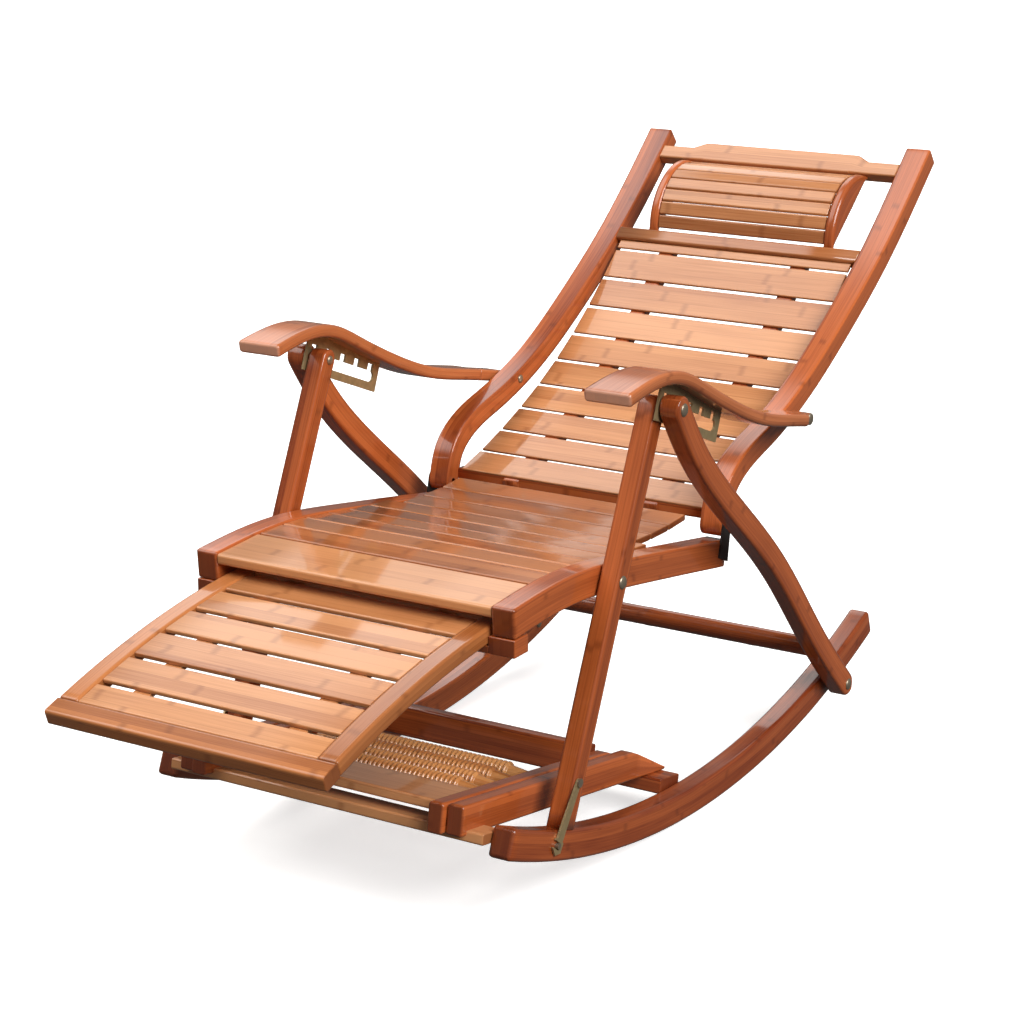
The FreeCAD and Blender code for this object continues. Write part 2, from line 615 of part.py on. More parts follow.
hook = hook.cut(rod(HOOK_PIVOT, BOLT_RADIUS + RUNNING_GAP, HOOK_INNER, HOOK_OUTER))
hook = hook.cut(rod(HOOK_PIN, HOOK_SLOT_HALF, HOOK_INNER, HOOK_OUTER))
mouth = vec(HOOK_PIN) - arm_side * (HOOK_HEAD_RADIUS * 2)
mouth_cut = extrude_x(bar(HOOK_PIN, (mouth.y, mouth.z), HOOK_SLOT_HALF), HOOK_INNER, HOOK_OUTER)
pair("hook", hook.cut(mouth_cut))
hook_screw = rod(HOOK_PIVOT, BOLT_RADIUS, LEG_INNER, HOOK_OUTER + GUIDE_GAP)
hook_face = HOOK_OUTER + GUIDE_GAP
hook_screw = hook_screw.fuse(rod(HOOK_PIVOT, HOOK_SCREW_RADIUS, hook_face, hook_face + HOOK_SCREW_HEAD))
hook_pin = rod(HOOK_PIN, BOLT_RADIUS, ROCKER_INNER, HOOK_OUTER + HOOK_SCREW_HEAD)
parts["hook_pins"] = both([hook_screw.removeSplitter(), hook_pin])

# Cross slats between the rockers
tray_way = (vec(TRAY_REAR) - vec(TRAY_FRONT)).normalize()
tray_up = V(0, -tray_way.z, tray_way.y)


def tray_point(length, rise):
    """Side-view point at a length back along the tray and a height over its bars' top."""
    p = vec(TRAY_FRONT) + tray_way * length + tray_up * rise
    return (p.y, p.z)


def tray_board(start, end, top, thickness, x0, x1):
    corners = (
        tray_point(start, top), tray_point(end, top),
        tray_point(end, top - thickness), tray_point(start, top - thickness),
    )
    return extrude_x(polygon(corners), x0, x1)


tray_length = (vec(TRAY_REAR) - vec(TRAY_FRONT)).Length
parts["front_cross_slat"] = tray_board(
    *FRONT_SLAT, -FRONT_SLAT_DROP, CROSS_SLAT_DEPTH, -ROCKER_INNER, ROCKER_INNER)
parts["rear_cross_slat"] = tray_board(
    tray_length + REAR_SLAT[0], tray_length + REAR_SLAT[1],
    -TRAY_BAR_HEIGHT, REAR_SLAT_DEPTH, -ROCKER_INNER, ROCKER_INNER)

# Foot roller tray: two bars each side, a flat front board, an upright rear one, and rollers on axles
roller_at = [tray_point(ROLLER_START + i * ROLLER_PITCH, -TRAY_BAR_HEIGHT / 2) for i in range(ROLLER_COUNT)]
chamfer_length, chamfer_drop = TRAY_CHAMFER


def tray_bar(start, end, x0, x1):
    """Bar along the tray, lapped over the front cross slat, with a long slope down its rear end."""
    corners = (
        tray_point(start, 0.0), tray_point(end - chamfer_length, 0.0), tray_point(end, -chamfer_drop),
        tray_point(end, -TRAY_BAR_HEIGHT), tray_point(start, -TRAY_BAR_HEIGHT),
    )
    return extrude_x(polygon(corners), x0, x1).cut(parts["front_cross_slat"])


outer_bar = tray_bar(0.0, tray_length, *TRAY_OUTER_BAR)
inner_front, inner_rear = TRAY_INNER_ENDS
inner_bar = tray_bar(inner_front, tray_length + inner_rear, *TRAY_INNER_BAR)
for centre in roller_at:
    inner_bar = inner_bar.cut(rod(centre, AXLE_RADIUS, *TRAY_INNER_BAR))
pair("tray_outer_bar", outer_bar)
pair("tray_inner_bar", inner_bar)
board_half = TRAY_INNER_BAR[0]
parts["tray_front_board"] = tray_board(
    *TRAY_FRONT_BOARD, -TRAY_FRONT_DROP, TRAY_BOARD, -board_half, board_half)
parts["tray_rear_board"] = tray_board(
    *TRAY_REAR_BOARD, TRAY_REAR_RISE, TRAY_REAR_HEIGHT, -board_half, board_half)
parts["roller_axles"] = Part.makeCompound([
    rod(c, AXLE_RADIUS, -TRAY_INNER_BAR[1], TRAY_INNER_BAR[1]) for c in roller_at])


def roller(centre):
    """Turned wooden roller with ribs along it and a cone at each end."""
    bore = AXLE_RADIUS + RUNNING_GAP
    ribbed = ROLLER_HALF - ROLLER_CONE
    rib = 2 * ribbed / ROLLER_RIBS
    profile = [(-ROLLER_HALF, bore), (-ROLLER_HALF, bore + RIB_DEPTH)]
    for i in range(ROLLER_RIBS):
        x = -ribbed + i * rib
        profile.append((x, ROLLER_RADIUS - RIB_DEPTH))
        profile.append((x + rib * 0.3, ROLLER_RADIUS))
        profile.append((x + rib * 0.7, ROLLER_RADIUS))
    profile.append((ribbed, ROLLER_RADIUS - RIB_DEPTH))
    profile += [(ROLLER_HALF, bore + RIB_DEPTH), (ROLLER_HALF, bore)]
    corners = [V(x, centre[0], centre[1] + r) for x, r in profile]
    face = Part.Face(Part.makePolygon(corners + corners[:1]))
    return face.revolve(vec(centre), V(1, 0, 0), 360)


for i, centre in enumerate(roller_at):
    parts[f"foot_roller_{i + 1}"] = roller(centre)

# Set the middle of the chair's length over the origin and write each sub-part
whole = Part.makeCompound(list(parts.values())).BoundBox
shift = V(0, -(whole.YMin + whole.YMax) / 2, -whole.ZMin)
os.makedirs("parts", exist_ok=True)
for name, shape in parts.items():
    shape.translate(shift)
    shape.exportStep(f"parts/{name}.step")
print(len(parts), "sub-parts, shift", shift, "size", whole.XLength, whole.YLength, whole.ZLength)
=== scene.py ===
import math

import bpy
import numpy as np
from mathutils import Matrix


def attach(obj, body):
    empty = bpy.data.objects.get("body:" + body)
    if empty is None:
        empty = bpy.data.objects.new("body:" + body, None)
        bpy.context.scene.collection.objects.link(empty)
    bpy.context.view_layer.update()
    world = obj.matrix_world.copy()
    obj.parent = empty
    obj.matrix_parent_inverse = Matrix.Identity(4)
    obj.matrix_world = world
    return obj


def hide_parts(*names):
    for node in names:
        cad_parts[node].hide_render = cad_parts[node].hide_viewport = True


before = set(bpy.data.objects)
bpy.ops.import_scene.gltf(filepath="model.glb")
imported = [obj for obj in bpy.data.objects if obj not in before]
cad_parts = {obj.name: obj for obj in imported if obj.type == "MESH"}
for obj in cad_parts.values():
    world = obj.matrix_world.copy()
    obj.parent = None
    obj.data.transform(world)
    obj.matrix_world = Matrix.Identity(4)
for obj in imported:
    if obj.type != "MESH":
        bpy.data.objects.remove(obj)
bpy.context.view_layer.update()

# Rockers: two long runners of laminated bamboo, bent to one arc of the floor circle.
# Glued strips show as fine lines along their sides, and the sawn ends are darker under the lacquer.
FLOOR_CONTACT = 0.0657353
ROCKER_RADIUS = 1.5
ROCKER_DEPTH = 0.041
ROCKER_SPAN = (-0.599, 0.522)
ROCKER_X = (0.244, 0.277)
ROCKER_EDGE = 0.005
ROCKER_END = 0.006
SIDES = (("left", -1.0), ("right", 1.0))
ACROSS = np.array((1.0, 0.0, 0.0))
draw = np.random.default_rng(11)


def linear(code):
    """Linear RGBA of an sRGB hex colour: c/12.92 below 0.04045, else ((c + 0.055)/1.055)^2.4."""
    srgb = np.array([int(code[i:i + 2], 16) for i in (1, 3, 5)]) / 255.0
    rgb = np.where(srgb <= 0.04045, srgb / 12.92, ((srgb + 0.055) / 1.055) ** 2.4)
    return (*rgb.tolist(), 1.0)


def add_node(tree, kind, inputs=None, **settings):
    """Adds one node, sets its properties, and gives each input a value or a link."""
    node = tree.nodes.new(kind)
    for key, value in settings.items():
        setattr(node, key, value)
    for key, value in (inputs or {}).items():
        if isinstance(value, bpy.types.NodeSocket):
            tree.links.new(value, node.inputs[key])
        else:
            node.inputs[key].default_value = value
    return node


def lacquered_bamboo(name, light, dark, ring, end, strip, node_every):
    """Strip-laminated bamboo under gloss lacquer: long fibres, strips of slightly different tone,
    a darker growth ring across each strip every so often, and sawn ends of another tone."""
    seam_width, ring_width = 0.0007, 0.009
    seam_share, ring_share, end_share = 0.26, 0.36, 0.75
    fibre_share, cloud_share, strip_share, piece_share = 0.75, 0.55, 0.56, 0.27
    fibre_lift, strip_lift = -0.15, -0.42
    fibre_stretch, cloud_stretch = (7.0, 480.0, 1.0), (5.0, 42.0, 1.0)
    raggedness = 0.05
    material = bpy.data.materials.new(name)
    material.use_nodes = True
    tree = material.node_tree
    shader = tree.nodes["Principled BSDF"]
    grain = add_node(tree, "ShaderNodeUVMap", uv_map="grain").outputs["UV"]
    split = add_node(tree, "ShaderNodeSeparateXYZ", {0: grain})
    along, round_it = split.outputs["X"], split.outputs["Y"]
    tone = add_node(tree, "ShaderNodeAttribute", attribute_name="tone").outputs["Fac"]
    sawn = add_node(tree, "ShaderNodeAttribute", attribute_name="sawn").outputs["Fac"]

    # Strips: each has its own tone and its own place for the growth rings
    strips = add_node(tree, "ShaderNodeMath", {0: round_it, 1: strip}, operation="DIVIDE").outputs[0]
    number = add_node(tree, "ShaderNodeMath", {0: strips}, operation="FLOOR").outputs[0]
    chance = add_node(tree, "ShaderNodeTexWhiteNoise", {"W": number}, noise_dimensions="1D")
    seam = add_node(tree, "ShaderNodeMath", {0: strips, 1: 0.5}, operation="PINGPONG").outputs[0]
    seam_line = add_node(tree, "ShaderNodeMapRange", {
        "Value": seam, "From Min": 0.0, "From Max": seam_width / strip, "To Min": 1.0, "To Max": 0.0,
    }, interpolation_type="SMOOTHSTEP").outputs[0]

    # Fibres are under half a millimetre wide: drawn about 2 mm wide so that they show
    stretched = add_node(tree, "ShaderNodeMapping", {"Vector": grain, "Scale": fibre_stretch})
    fibre = add_node(tree, "ShaderNodeTexNoise", {
        "Vector": stretched.outputs[0], "Scale": 1.0, "Detail": 3.0, "Roughness": 0.6,
    }, noise_dimensions="2D").outputs["Fac"]
    broad = add_node(tree, "ShaderNodeMapping", {"Vector": grain, "Scale": cloud_stretch})
    cloud = add_node(tree, "ShaderNodeTexNoise", {
        "Vector": broad.outputs[0], "Scale": 1.0, "Detail": 2.0,
    }, noise_dimensions="2D").outputs["Fac"]

    # Growth rings: distance along the strip to the nearest one, with a ragged edge
    place = add_node(tree, "ShaderNodeMath", {0: along, 1: node_every}, operation="DIVIDE").outputs[0]
    place = add_node(tree, "ShaderNodeMath", {
        0: place, 1: chance.outputs["Value"]}, operation="ADD").outputs[0]
    ragged = add_node(tree, "ShaderNodeMath", {
        0: cloud, 1: raggedness, 2: place}, operation="MULTIPLY_ADD").outputs[0]
    away = add_node(tree, "ShaderNodeMath", {0: ragged, 1: 0.5}, operation="PINGPONG").outputs[0]
    ring_line = add_node(tree, "ShaderNodeMapRange", {
        "Value": away, "From Min": 0.0, "From Max": ring_width / node_every, "To Min": 1.0, "To Max": 0.0,
    }, interpolation_type="SMOOTHSTEP").outputs[0]

    # Tone: fibres, clouds, the strip's own shade and the piece's own shade
    shade = add_node(tree, "ShaderNodeMath", {
        0: fibre, 1: fibre_share, 2: fibre_lift}, operation="MULTIPLY_ADD").outputs[0]
    shade = add_node(tree, "ShaderNodeMath", {
        0: cloud, 1: cloud_share, 2: shade}, operation="MULTIPLY_ADD").outputs[0]
    own = add_node(tree, "ShaderNodeMath", {
        0: chance.outputs["Value"], 1: strip_share, 2: strip_lift}, operation="MULTIPLY_ADD").outputs[0]
    shade = add_node(tree, "ShaderNodeMath", {0: shade, 1: own}, operation="ADD").outputs[0]
    shade = add_node(tree, "ShaderNodeMath", {
        0: tone, 1: piece_share, 2: shade}, operation="MULTIPLY_ADD", use_clamp=True)
    body = add_node(tree, "ShaderNodeMix", {
        0: shade.outputs[0], "A": linear(light), "B": linear(dark)}, data_type="RGBA")
    ringed = add_node(tree, "ShaderNodeMath", {0: ring_line, 1: ring_share}, operation="MULTIPLY").outputs[0]
    with_ring = add_node(tree, "ShaderNodeMix", {
        0: ringed, "A": body.outputs["Result"], "B": linear(ring)}, data_type="RGBA")
    seamed = add_node(tree, "ShaderNodeMath", {0: seam_line, 1: seam_share}, operation="MULTIPLY").outputs[0]
    with_seam = add_node(tree, "ShaderNodeMix", {
        0: seamed, "A": with_ring.outputs["Result"], "B": linear(ring)}, data_type="RGBA")
    cut_end = add_node(tree, "ShaderNodeMath", {0: sawn, 1: end_share}, operation="MULTIPLY").outputs[0]
    colour = add_node(tree, "ShaderNodeMix", {
        0: cut_end, "A": with_seam.outputs["Result"], "B": linear(end)}, data_type="RGBA")
    tree.links.new(colour.outputs["Result"], shader.inputs["Base Color"])

    rough = add_node(tree, "ShaderNodeMapRange", {
        "Value": fibre, "To Min": 0.26, "To Max": 0.42}).outputs[0]
    tree.links.new(rough, shader.inputs["Roughness"])
    bump = add_node(tree, "ShaderNodeBump", {"Height": fibre, "Strength": 0.10, "Distance": 0.0004})
    tree.links.new(bump.outputs[0], shader.inputs["Normal"])
    shader.inputs["IOR"].default_value = 1.5
    shader.inputs["Specular IOR Level"].default_value = 0.15
    shader.inputs["Coat Weight"].default_value = 1.0
    shader.inputs["Coat Roughness"].default_value = 0.07
    return material


def side_curve(points, count=200):
    """Natural cubic through side-view points (y, z): its second derivatives m solve the tridiagonal
    system h0 m0 + 2(h0 + h1) m1 + h1 m2 = 6(slope1 - slope0), with chord length as the parameter."""
    p = np.asarray(points, float)
    h = np.hypot(*np.diff(p, axis=0).T)
    t = np.concatenate(([0.0], np.cumsum(h)))
    n = len(p)
    system = np.eye(n)
    right = np.zeros((n, 2))
    inner = np.arange(1, n - 1)
    system[inner, inner - 1] = h[:-1]
    system[inner, inner] = 2 * (h[:-1] + h[1:])
    system[inner, inner + 1] = h[1:]
    slope = np.diff(p, axis=0) / h[:, None]
    right[inner] = 6 * (slope[1:] - slope[:-1])
    m = np.linalg.solve(system, right)
    at = np.linspace(0.0, t[-1], count)
    i = np.clip(np.searchsorted(t, at, "right") - 1, 0, n - 2)
    a, b, hi = (t[i + 1] - at)[:, None], (at - t[i])[:, None], h[i][:, None]
    yz = (m[i] * a**3 + m[i + 1] * b**3) / (6 * hi)
    return yz + (p[i] / hi - m[i] * hi / 6) * a + (p[i + 1] / hi - m[i + 1] * hi / 6) * b


def at_x(yz, x):
    """Points of the chair's frame from side-view points, at one distance across it."""
    yz = np.asarray(yz, float)
    return np.column_stack((np.full(len(yz), x), yz[:, 0] + FLOOR_CONTACT, yz[:, 1]))


def swept(path, across, width, height, edge, ends, rings):
    """Rounded-rectangle profile carried along a path: point = path + a across + b normal.
    The profile is four quarter circles joined by flats. At an eased end of radius e it shrinks by
    e(1 - sin f) as it comes e(1 - cos f) in from the end. At a round end only its height shrinks.
    Each flat has a line of points beside its corners, which keeps its shading flat."""
    least_edge, fullest_edge, beside_corner = 0.15, 0.96, 0.12
    path = np.asarray(path, float)
    length = np.concatenate(([0.0], np.cumsum(np.linalg.norm(np.diff(path, axis=0), axis=1))))
    total = length[-1]
    tall = np.broadcast_to(np.asarray(height, float), len(path))
    wide = np.broadcast_to(np.asarray(width, float), len(path))
    turn = np.radians((0.0, 6.0, 30.0, 60.0, 90.0))
    arc = np.radians((4.0, 12.0, 22.0, 34.0, 47.0, 61.0, 75.0, 90.0))
    starts, shrink, squeeze, cut = [], [], [], []
    for end, tip in zip(ends, (tall[0], tall[-1])):
        if end == "round":
            r = tip / 2
            starts.append(r * (1 - np.cos(arc)))
            shrink.append(np.zeros(len(arc)))
            squeeze.append(np.sin(arc))
            cut.append(np.zeros(len(arc)))
        elif end:
            starts.append(end * (1 - np.cos(turn)))
            shrink.append(end * (1 - np.sin(turn)))
            squeeze.append(np.ones(len(turn)))
            cut.append((1 - np.sin(turn)) ** 0.5)
        else:
            starts.append(np.zeros(1))
            shrink.append(np.zeros(1))
            squeeze.append(np.ones(1))
            cut.append(np.zeros(1))
    middle = np.linspace(starts[0][-1], total - starts[1][-1], rings + 2)[1:-1]
    at = np.concatenate((starts[0], middle, total - starts[1][::-1]))
    none = np.zeros(rings)
    inset = np.concatenate((shrink[0], none, shrink[1][::-1]))
    flat = np.concatenate((squeeze[0], none + 1, squeeze[1][::-1]))
    sawn = np.concatenate((cut[0], none, cut[1][::-1]))
    spine = np.column_stack([np.interp(at, length, path[:, k]) for k in range(3)])
    forward = np.gradient(path, axis=0)
    forward = np.column_stack([np.interp(at, length, forward[:, k]) for k in range(3)])
    forward /= np.linalg.norm(forward, axis=1)[:, None]
    across = np.asarray(across, float)
    normal = np.cross(across, forward)
    half_a = np.interp(at, length, wide) / 2 - inset
    half_b = np.interp(at, length, tall) / 2 * flat - inset
    r = np.maximum(edge - inset, edge * least_edge)
    r = np.minimum(r, np.minimum(half_a, half_b) * fullest_edge)

    corner = np.repeat(np.arange(4), 6)
    f = np.radians(np.tile((0.0, 0.0, 30.0, 60.0, 90.0, 90.0), 4) + 90.0 * corner)
    step = np.tile((-1.0, 0.0, 0.0, 0.0, 0.0, 1.0), 4)
    sign_a = np.array((1, -1, -1, 1))[corner]
    sign_b = np.array((1, 1, -1, -1))[corner]
    ease = (np.minimum(half_a, half_b) - r) * beside_corner
    a = sign_a * (half_a - r)[:, None] + r[:, None] * np.cos(f) - step * np.sin(f) * ease[:, None]
    b = sign_b * (half_b - r)[:, None] + r[:, None] * np.sin(f) + step * np.cos(f) * ease[:, None]
    points = spine[:, None] + a[..., None] * across + b[..., None] * normal[:, None]
    widest = len(at) // 2
    lap = np.hypot(np.diff(a[widest], append=a[widest, :1]), np.diff(b[widest], append=b[widest, :1]))
    around = np.concatenate(([0.0], np.cumsum(lap)))
    return points, at, around, sawn, (a, b)


def bamboo_piece(name, surfaces, material, body, slot, *nodes):
    """One object from swept surfaces: a grid of quads for each, closed round its profile and capped
    at both ends, with the grain's length and girth as UV and each surface's own tone."""
    corners, faces, uvs, tones, saws = [], [], [], [], []
    base = 0
    for points, at, around, sawn, (a, b) in surfaces:
        n, m = points.shape[:2]
        start = draw.uniform(0.0, 9.0, 2)
        i, j = np.meshgrid(np.arange(n - 1), np.arange(m), indexing="ij")
        ring = np.stack((i, i + 1, i + 1, i), -1).reshape(-1, 4)
        lane = np.stack((j, j, j + 1, j + 1), -1).reshape(-1, 4)
        faces += (base + ring * m + lane % m).tolist()
        uvs.append(np.stack((at[ring] + start[0], around[lane] + start[1]), -1).reshape(-1, 2))
        for end, order in ((0, np.arange(m)), (n - 1, np.arange(m)[::-1])):
            faces.append((base + end * m + order).tolist())
            uvs.append(np.column_stack((b[end][order], a[end][order])) + start)
        corners.append(points.reshape(-1, 3))
        tones.append(np.full(n * m, draw.uniform(-1.0, 1.0)))
        saws.append(np.repeat(sawn, m))
        base += n * m
    mesh = bpy.data.meshes.new(name)
    mesh.from_pydata(np.concatenate(corners).tolist(), [], faces)
    layer = mesh.uv_layers.new(name="grain")
    layer.data.foreach_set("uv", np.concatenate(uvs).ravel())
    for key, values in (("tone", tones), ("sawn", saws)):
        mesh.attributes.new(key, "FLOAT", "POINT").data.foreach_set("value", np.concatenate(values))
    mesh.polygons.foreach_set("use_smooth", np.ones(len(faces), bool))
    mesh.materials.append(material)
    piece = bpy.data.objects.new(name, mesh)
    bpy.context.scene.collection.objects.link(piece)
    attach(piece, body)
    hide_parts(*nodes)


frame_bamboo = lacquered_bamboo(
    "strip_laminated_bamboo", "#BE6230", "#722A0E", "#58220C", "#662C16", strip=0.0105, node_every=0.31)
slat_bamboo = lacquered_bamboo(
    "flat_grain_bamboo", "#D0905E", "#9E5C30", "#7C401C", "#8E532E", strip=0.021, node_every=0.24)

lean = np.linspace(*np.arcsin(np.divide(ROCKER_SPAN, ROCKER_RADIUS)), 240)
runner = ROCKER_RADIUS - ROCKER_DEPTH / 2
rocker_line = np.column_stack((runner * np.sin(lean), ROCKER_RADIUS - runner * np.cos(lean)))
rocker_width = ROCKER_X[1] - ROCKER_X[0]
for label, side in SIDES:
    middle = at_x(rocker_line, side * sum(ROCKER_X) / 2)
    bent = swept(middle, ACROSS, rocker_width, ROCKER_DEPTH, ROCKER_EDGE, (ROCKER_END, ROCKER_END), 90)
    bamboo_piece(f"bent_rocker_{label}", [bent], frame_bamboo, "frame", "bamboo_rail", f"rocker_{label}")

# Front legs: straight bars of laminated bamboo with round heads for the top bolts.
# Their feet are cut to the curve of the rockers that they stand on.
LEG_X = (0.249, 0.277)
LEG_WIDTH = 0.029
LEG_EDGE = 0.004
LEG_TOP = (-0.218, 0.621)
LEG_FOOT = (-0.451, 0.110)
leg_way = np.subtract(LEG_TOP, LEG_FOOT) / np.hypot(*np.subtract(LEG_TOP, LEG_FOOT))
leg_head = np.add(LEG_TOP, leg_way * LEG_WIDTH / 2)
hub = np.array((FLOOR_CONTACT, ROCKER_RADIUS))
for label, side in SIDES:
    stand = at_x(np.linspace(LEG_FOOT, leg_head, 60), side * sum(LEG_X) / 2)
    leg = swept(stand, ACROSS, LEG_X[1] - LEG_X[0], LEG_WIDTH, LEG_EDGE, (0.0, "round"), 24)
    foot = leg[0][0, :, 1:] - hub
    drop = foot @ leg_way
    reach = drop**2 - (foot**2).sum(1) + (ROCKER_RADIUS - ROCKER_DEPTH) ** 2
    leg[0][0, :, 1:] += (-drop - np.sqrt(reach))[:, None] * leg_way
    bamboo_piece(f"straight_front_leg_{label}", [leg], frame_bamboo, "frame", "bamboo_rail",
                 f"front_leg_{label}")

# Back legs: sawn in an S curve from laminated bamboo, with round ends for their bolts.
# They run outside the front legs from the top bolts down to the rockers.
BACK_LEG_X = (0.283, 0.311)
BACK_LEG_WIDTH = 0.036
REAR_BOLT = (0.354, 0.063)
BOWS = ((0.10, -0.013), (0.22, -0.014), (0.41, 0.0), (0.56, 0.0065), (0.80, -0.001))
chord = np.subtract(REAR_BOLT, LEG_TOP)
chord_side = np.array((-chord[1], chord[0])) / np.hypot(*chord)
bends = [np.add(LEG_TOP, chord * share) + chord_side * bow for share, bow in BOWS]
leg_line = side_curve([LEG_TOP] + bends + [REAR_BOLT])


def with_round_ends(line, reach):
    """A side-view line made longer at both ends by a straight run along its end direction."""
    first, last = line[0] - line[1], line[-1] - line[-2]
    lead = np.linspace(1.0, 0.1, 8)[:, None] * reach
    return np.vstack((line[0] + lead * first / np.hypot(*first), line,
                      line[-1] + lead[::-1] * last / np.hypot(*last)))


for label, side in SIDES:
    bow = at_x(with_round_ends(leg_line, BACK_LEG_WIDTH / 2), side * sum(BACK_LEG_X) / 2)
    leg = swept(bow, ACROSS, BACK_LEG_X[1] - BACK_LEG_X[0], BACK_LEG_WIDTH, LEG_EDGE, ("round", "round"), 70)
    bamboo_piece(f"bowed_back_leg_{label}", [leg], frame_bamboo, "frame", "bamboo_rail", f"back_leg_{label}")

# Pole: one whole bamboo cane that ties the back legs together.
# Its growth rings stand up as low ridges with a dark line, and it is lacquered like the rest.
POLE_CENTRE = (0.266, 0.146)
POLE_RADIUS = 0.015
POLE_RINGS = np.array((-0.205, 0.012, 0.188))
RIDGE_SHARE = 0.035
RIDGE_WIDTH = 0.006
GROOVE_SHARE = 0.03
GROOVE_WIDTH = 0.0012


def turned(profile, centre, count=40):
    """Surface of revolution about a line across the chair: (x, r) gives (x, y + r cos f, z + r sin f).
    Its rings run from the profile's last point to its first, so that its faces point outwards."""
    x, r = np.asarray(profile, float)[::-1].T
    f = np.arange(count) * 2 * np.pi / count
    y = centre[0] + FLOOR_CONTACT + r[:, None] * np.cos(f)
    z = centre[1] + r[:, None] * np.sin(f)
    points = np.stack((np.broadcast_to(x[:, None], y.shape), y, z), -1)
    girth = np.arange(count + 1) / count * 2 * np.pi * r.max()
    flat = (r[:, None] * np.cos(f), r[:, None] * np.sin(f))
    return points, x - x[-1], girth, np.zeros(len(x)), flat


cane_x = np.linspace(-BACK_LEG_X[0], BACK_LEG_X[0], 240)
near_ring = np.abs(cane_x[:, None] - POLE_RINGS).min(1)
ridge = RIDGE_SHARE * np.exp(-(near_ring / RIDGE_WIDTH) ** 2)
groove = GROOVE_SHARE * np.exp(-(near_ring / GROOVE_WIDTH) ** 2)
cane_r = POLE_RADIUS * (1.0 - RIDGE_SHARE + ridge - groove)
cane = turned(np.column_stack((cane_x, cane_r)), POLE_CENTRE)
bamboo_piece("cane_pole", [cane], frame_bamboo, "frame", "bamboo_pole", "back_pole")

# Bolts: zinc-plated carriage bolts with low domed heads outside and cap nuts inside.
# They are the chair's pivots and hold the legs, the seat rails and the armrests.
BOLT_RADIUS = 0.004
NUT_RADIUS = 0.0065
HEAD_RADIUS = 0.009
DOME_HEIGHT = 0.0035
DOME_TIP = 0.0001
SEAT_BOLT = (-0.316, 0.408)
ARM_PIVOT = (0.240, 0.506)
RAIL_X = (0.212, 0.246)
TONGUE_X = (0.249, 0.283)


def plated_metal(name, colour, roughness, spots, shine):
    """Plated metal: satin, with faint cloudy tarnish a few millimetres across."""
    material = bpy.data.materials.new(name)
    material.use_nodes = True
    tree = material.node_tree
    shader = tree.nodes["Principled BSDF"]
    place = add_node(tree, "ShaderNodeTexCoord").outputs["Object"]
    cloud = add_node(tree, "ShaderNodeTexNoise", {
        "Vector": place, "Scale": 1 / spots, "Detail": 4.0}).outputs["Fac"]
    tarnish_share, smoother, rougher = 0.55, 0.08, 0.12
    tarnish = [channel * tarnish_share for channel in linear(colour)[:3]] + [1.0]
    mixed = add_node(tree, "ShaderNodeMix", {
        0: cloud, "A": linear(colour), "B": tarnish}, data_type="RGBA")
    tree.links.new(mixed.outputs["Result"], shader.inputs["Base Color"])
    rough = add_node(tree, "ShaderNodeMapRange", {
        "Value": cloud, "To Min": roughness - smoother, "To Max": roughness + rougher}).outputs[0]
    tree.links.new(rough, shader.inputs["Roughness"])
    shader.inputs["Metallic"].default_value = shine
    return material


zinc = plated_metal("zinc_plated_steel", "#B5A58E", roughness=0.34, spots=0.006, shine=0.75)


def bolt(centre, x0, x1, side):
    """Cap nut, shank and domed head as one profile of (x, r), from the chair's middle outwards."""
    dome = np.radians(np.linspace(90.0, 4.0, 7))
    back = dome[::-1]
    nut = np.column_stack((x0 - DOME_HEIGHT * np.sin(dome), NUT_RADIUS * np.cos(dome) + DOME_TIP))
    head = np.column_stack((x1 + DOME_HEIGHT * np.sin(back), HEAD_RADIUS * np.cos(back) + DOME_TIP))
    shank = np.array(((x0, NUT_RADIUS), (x0, BOLT_RADIUS), (x1, BOLT_RADIUS), (x1, HEAD_RADIUS)))
    profile = np.vstack((nut, shank, head))
    if side < 0:
        profile = profile[::-1] * (-1.0, 1.0)
    return turned(profile, centre, 28)


leg_bolts = ((LEG_TOP, LEG_X[0], BACK_LEG_X[1]), (REAR_BOLT, ROCKER_X[0], BACK_LEG_X[1]),
             (SEAT_BOLT, RAIL_X[0], LEG_X[1]))
bolts = [bolt(at, x0, x1, side) for label, side in SIDES for at, x0, x1 in leg_bolts]
bamboo_piece("leg_carriage_bolts", bolts, zinc, "frame", "steel_fixings", "leg_bolts")
bolts = [bolt(ARM_PIVOT, RAIL_X[0], TONGUE_X[1], side) for label, side in SIDES]
bamboo_piece("arm_carriage_bolts", bolts, zinc, "back", "steel_fixings", "arm_bolts")

# Seat rails: two bars of laminated bamboo, bent so that the seat rises to its front
# and falls to the back. Their rounded front ends show dark end grain.
SEAT_LINE = ((-0.535, 0.408), (-0.437, 0.413), (-0.340, 0.409), (-0.240, 0.395), (-0.050, 0.363),
             (0.048, 0.346))
SEAT_HEIGHT = 0.040
RAIL_EDGE = 0.003
RAIL_END = 0.004
seat_line = side_curve(SEAT_LINE)
for label, side in SIDES:
    middle = at_x(seat_line, side * sum(RAIL_X) / 2)
    rail = swept(middle, ACROSS, RAIL_X[1] - RAIL_X[0], SEAT_HEIGHT, RAIL_EDGE, (RAIL_END, RAIL_EDGE), 50)
    bamboo_piece(f"bent_seat_rail_{label}", [rail], frame_bamboo, "frame", "bamboo_rail",
                 f"seat_rail_{label}")

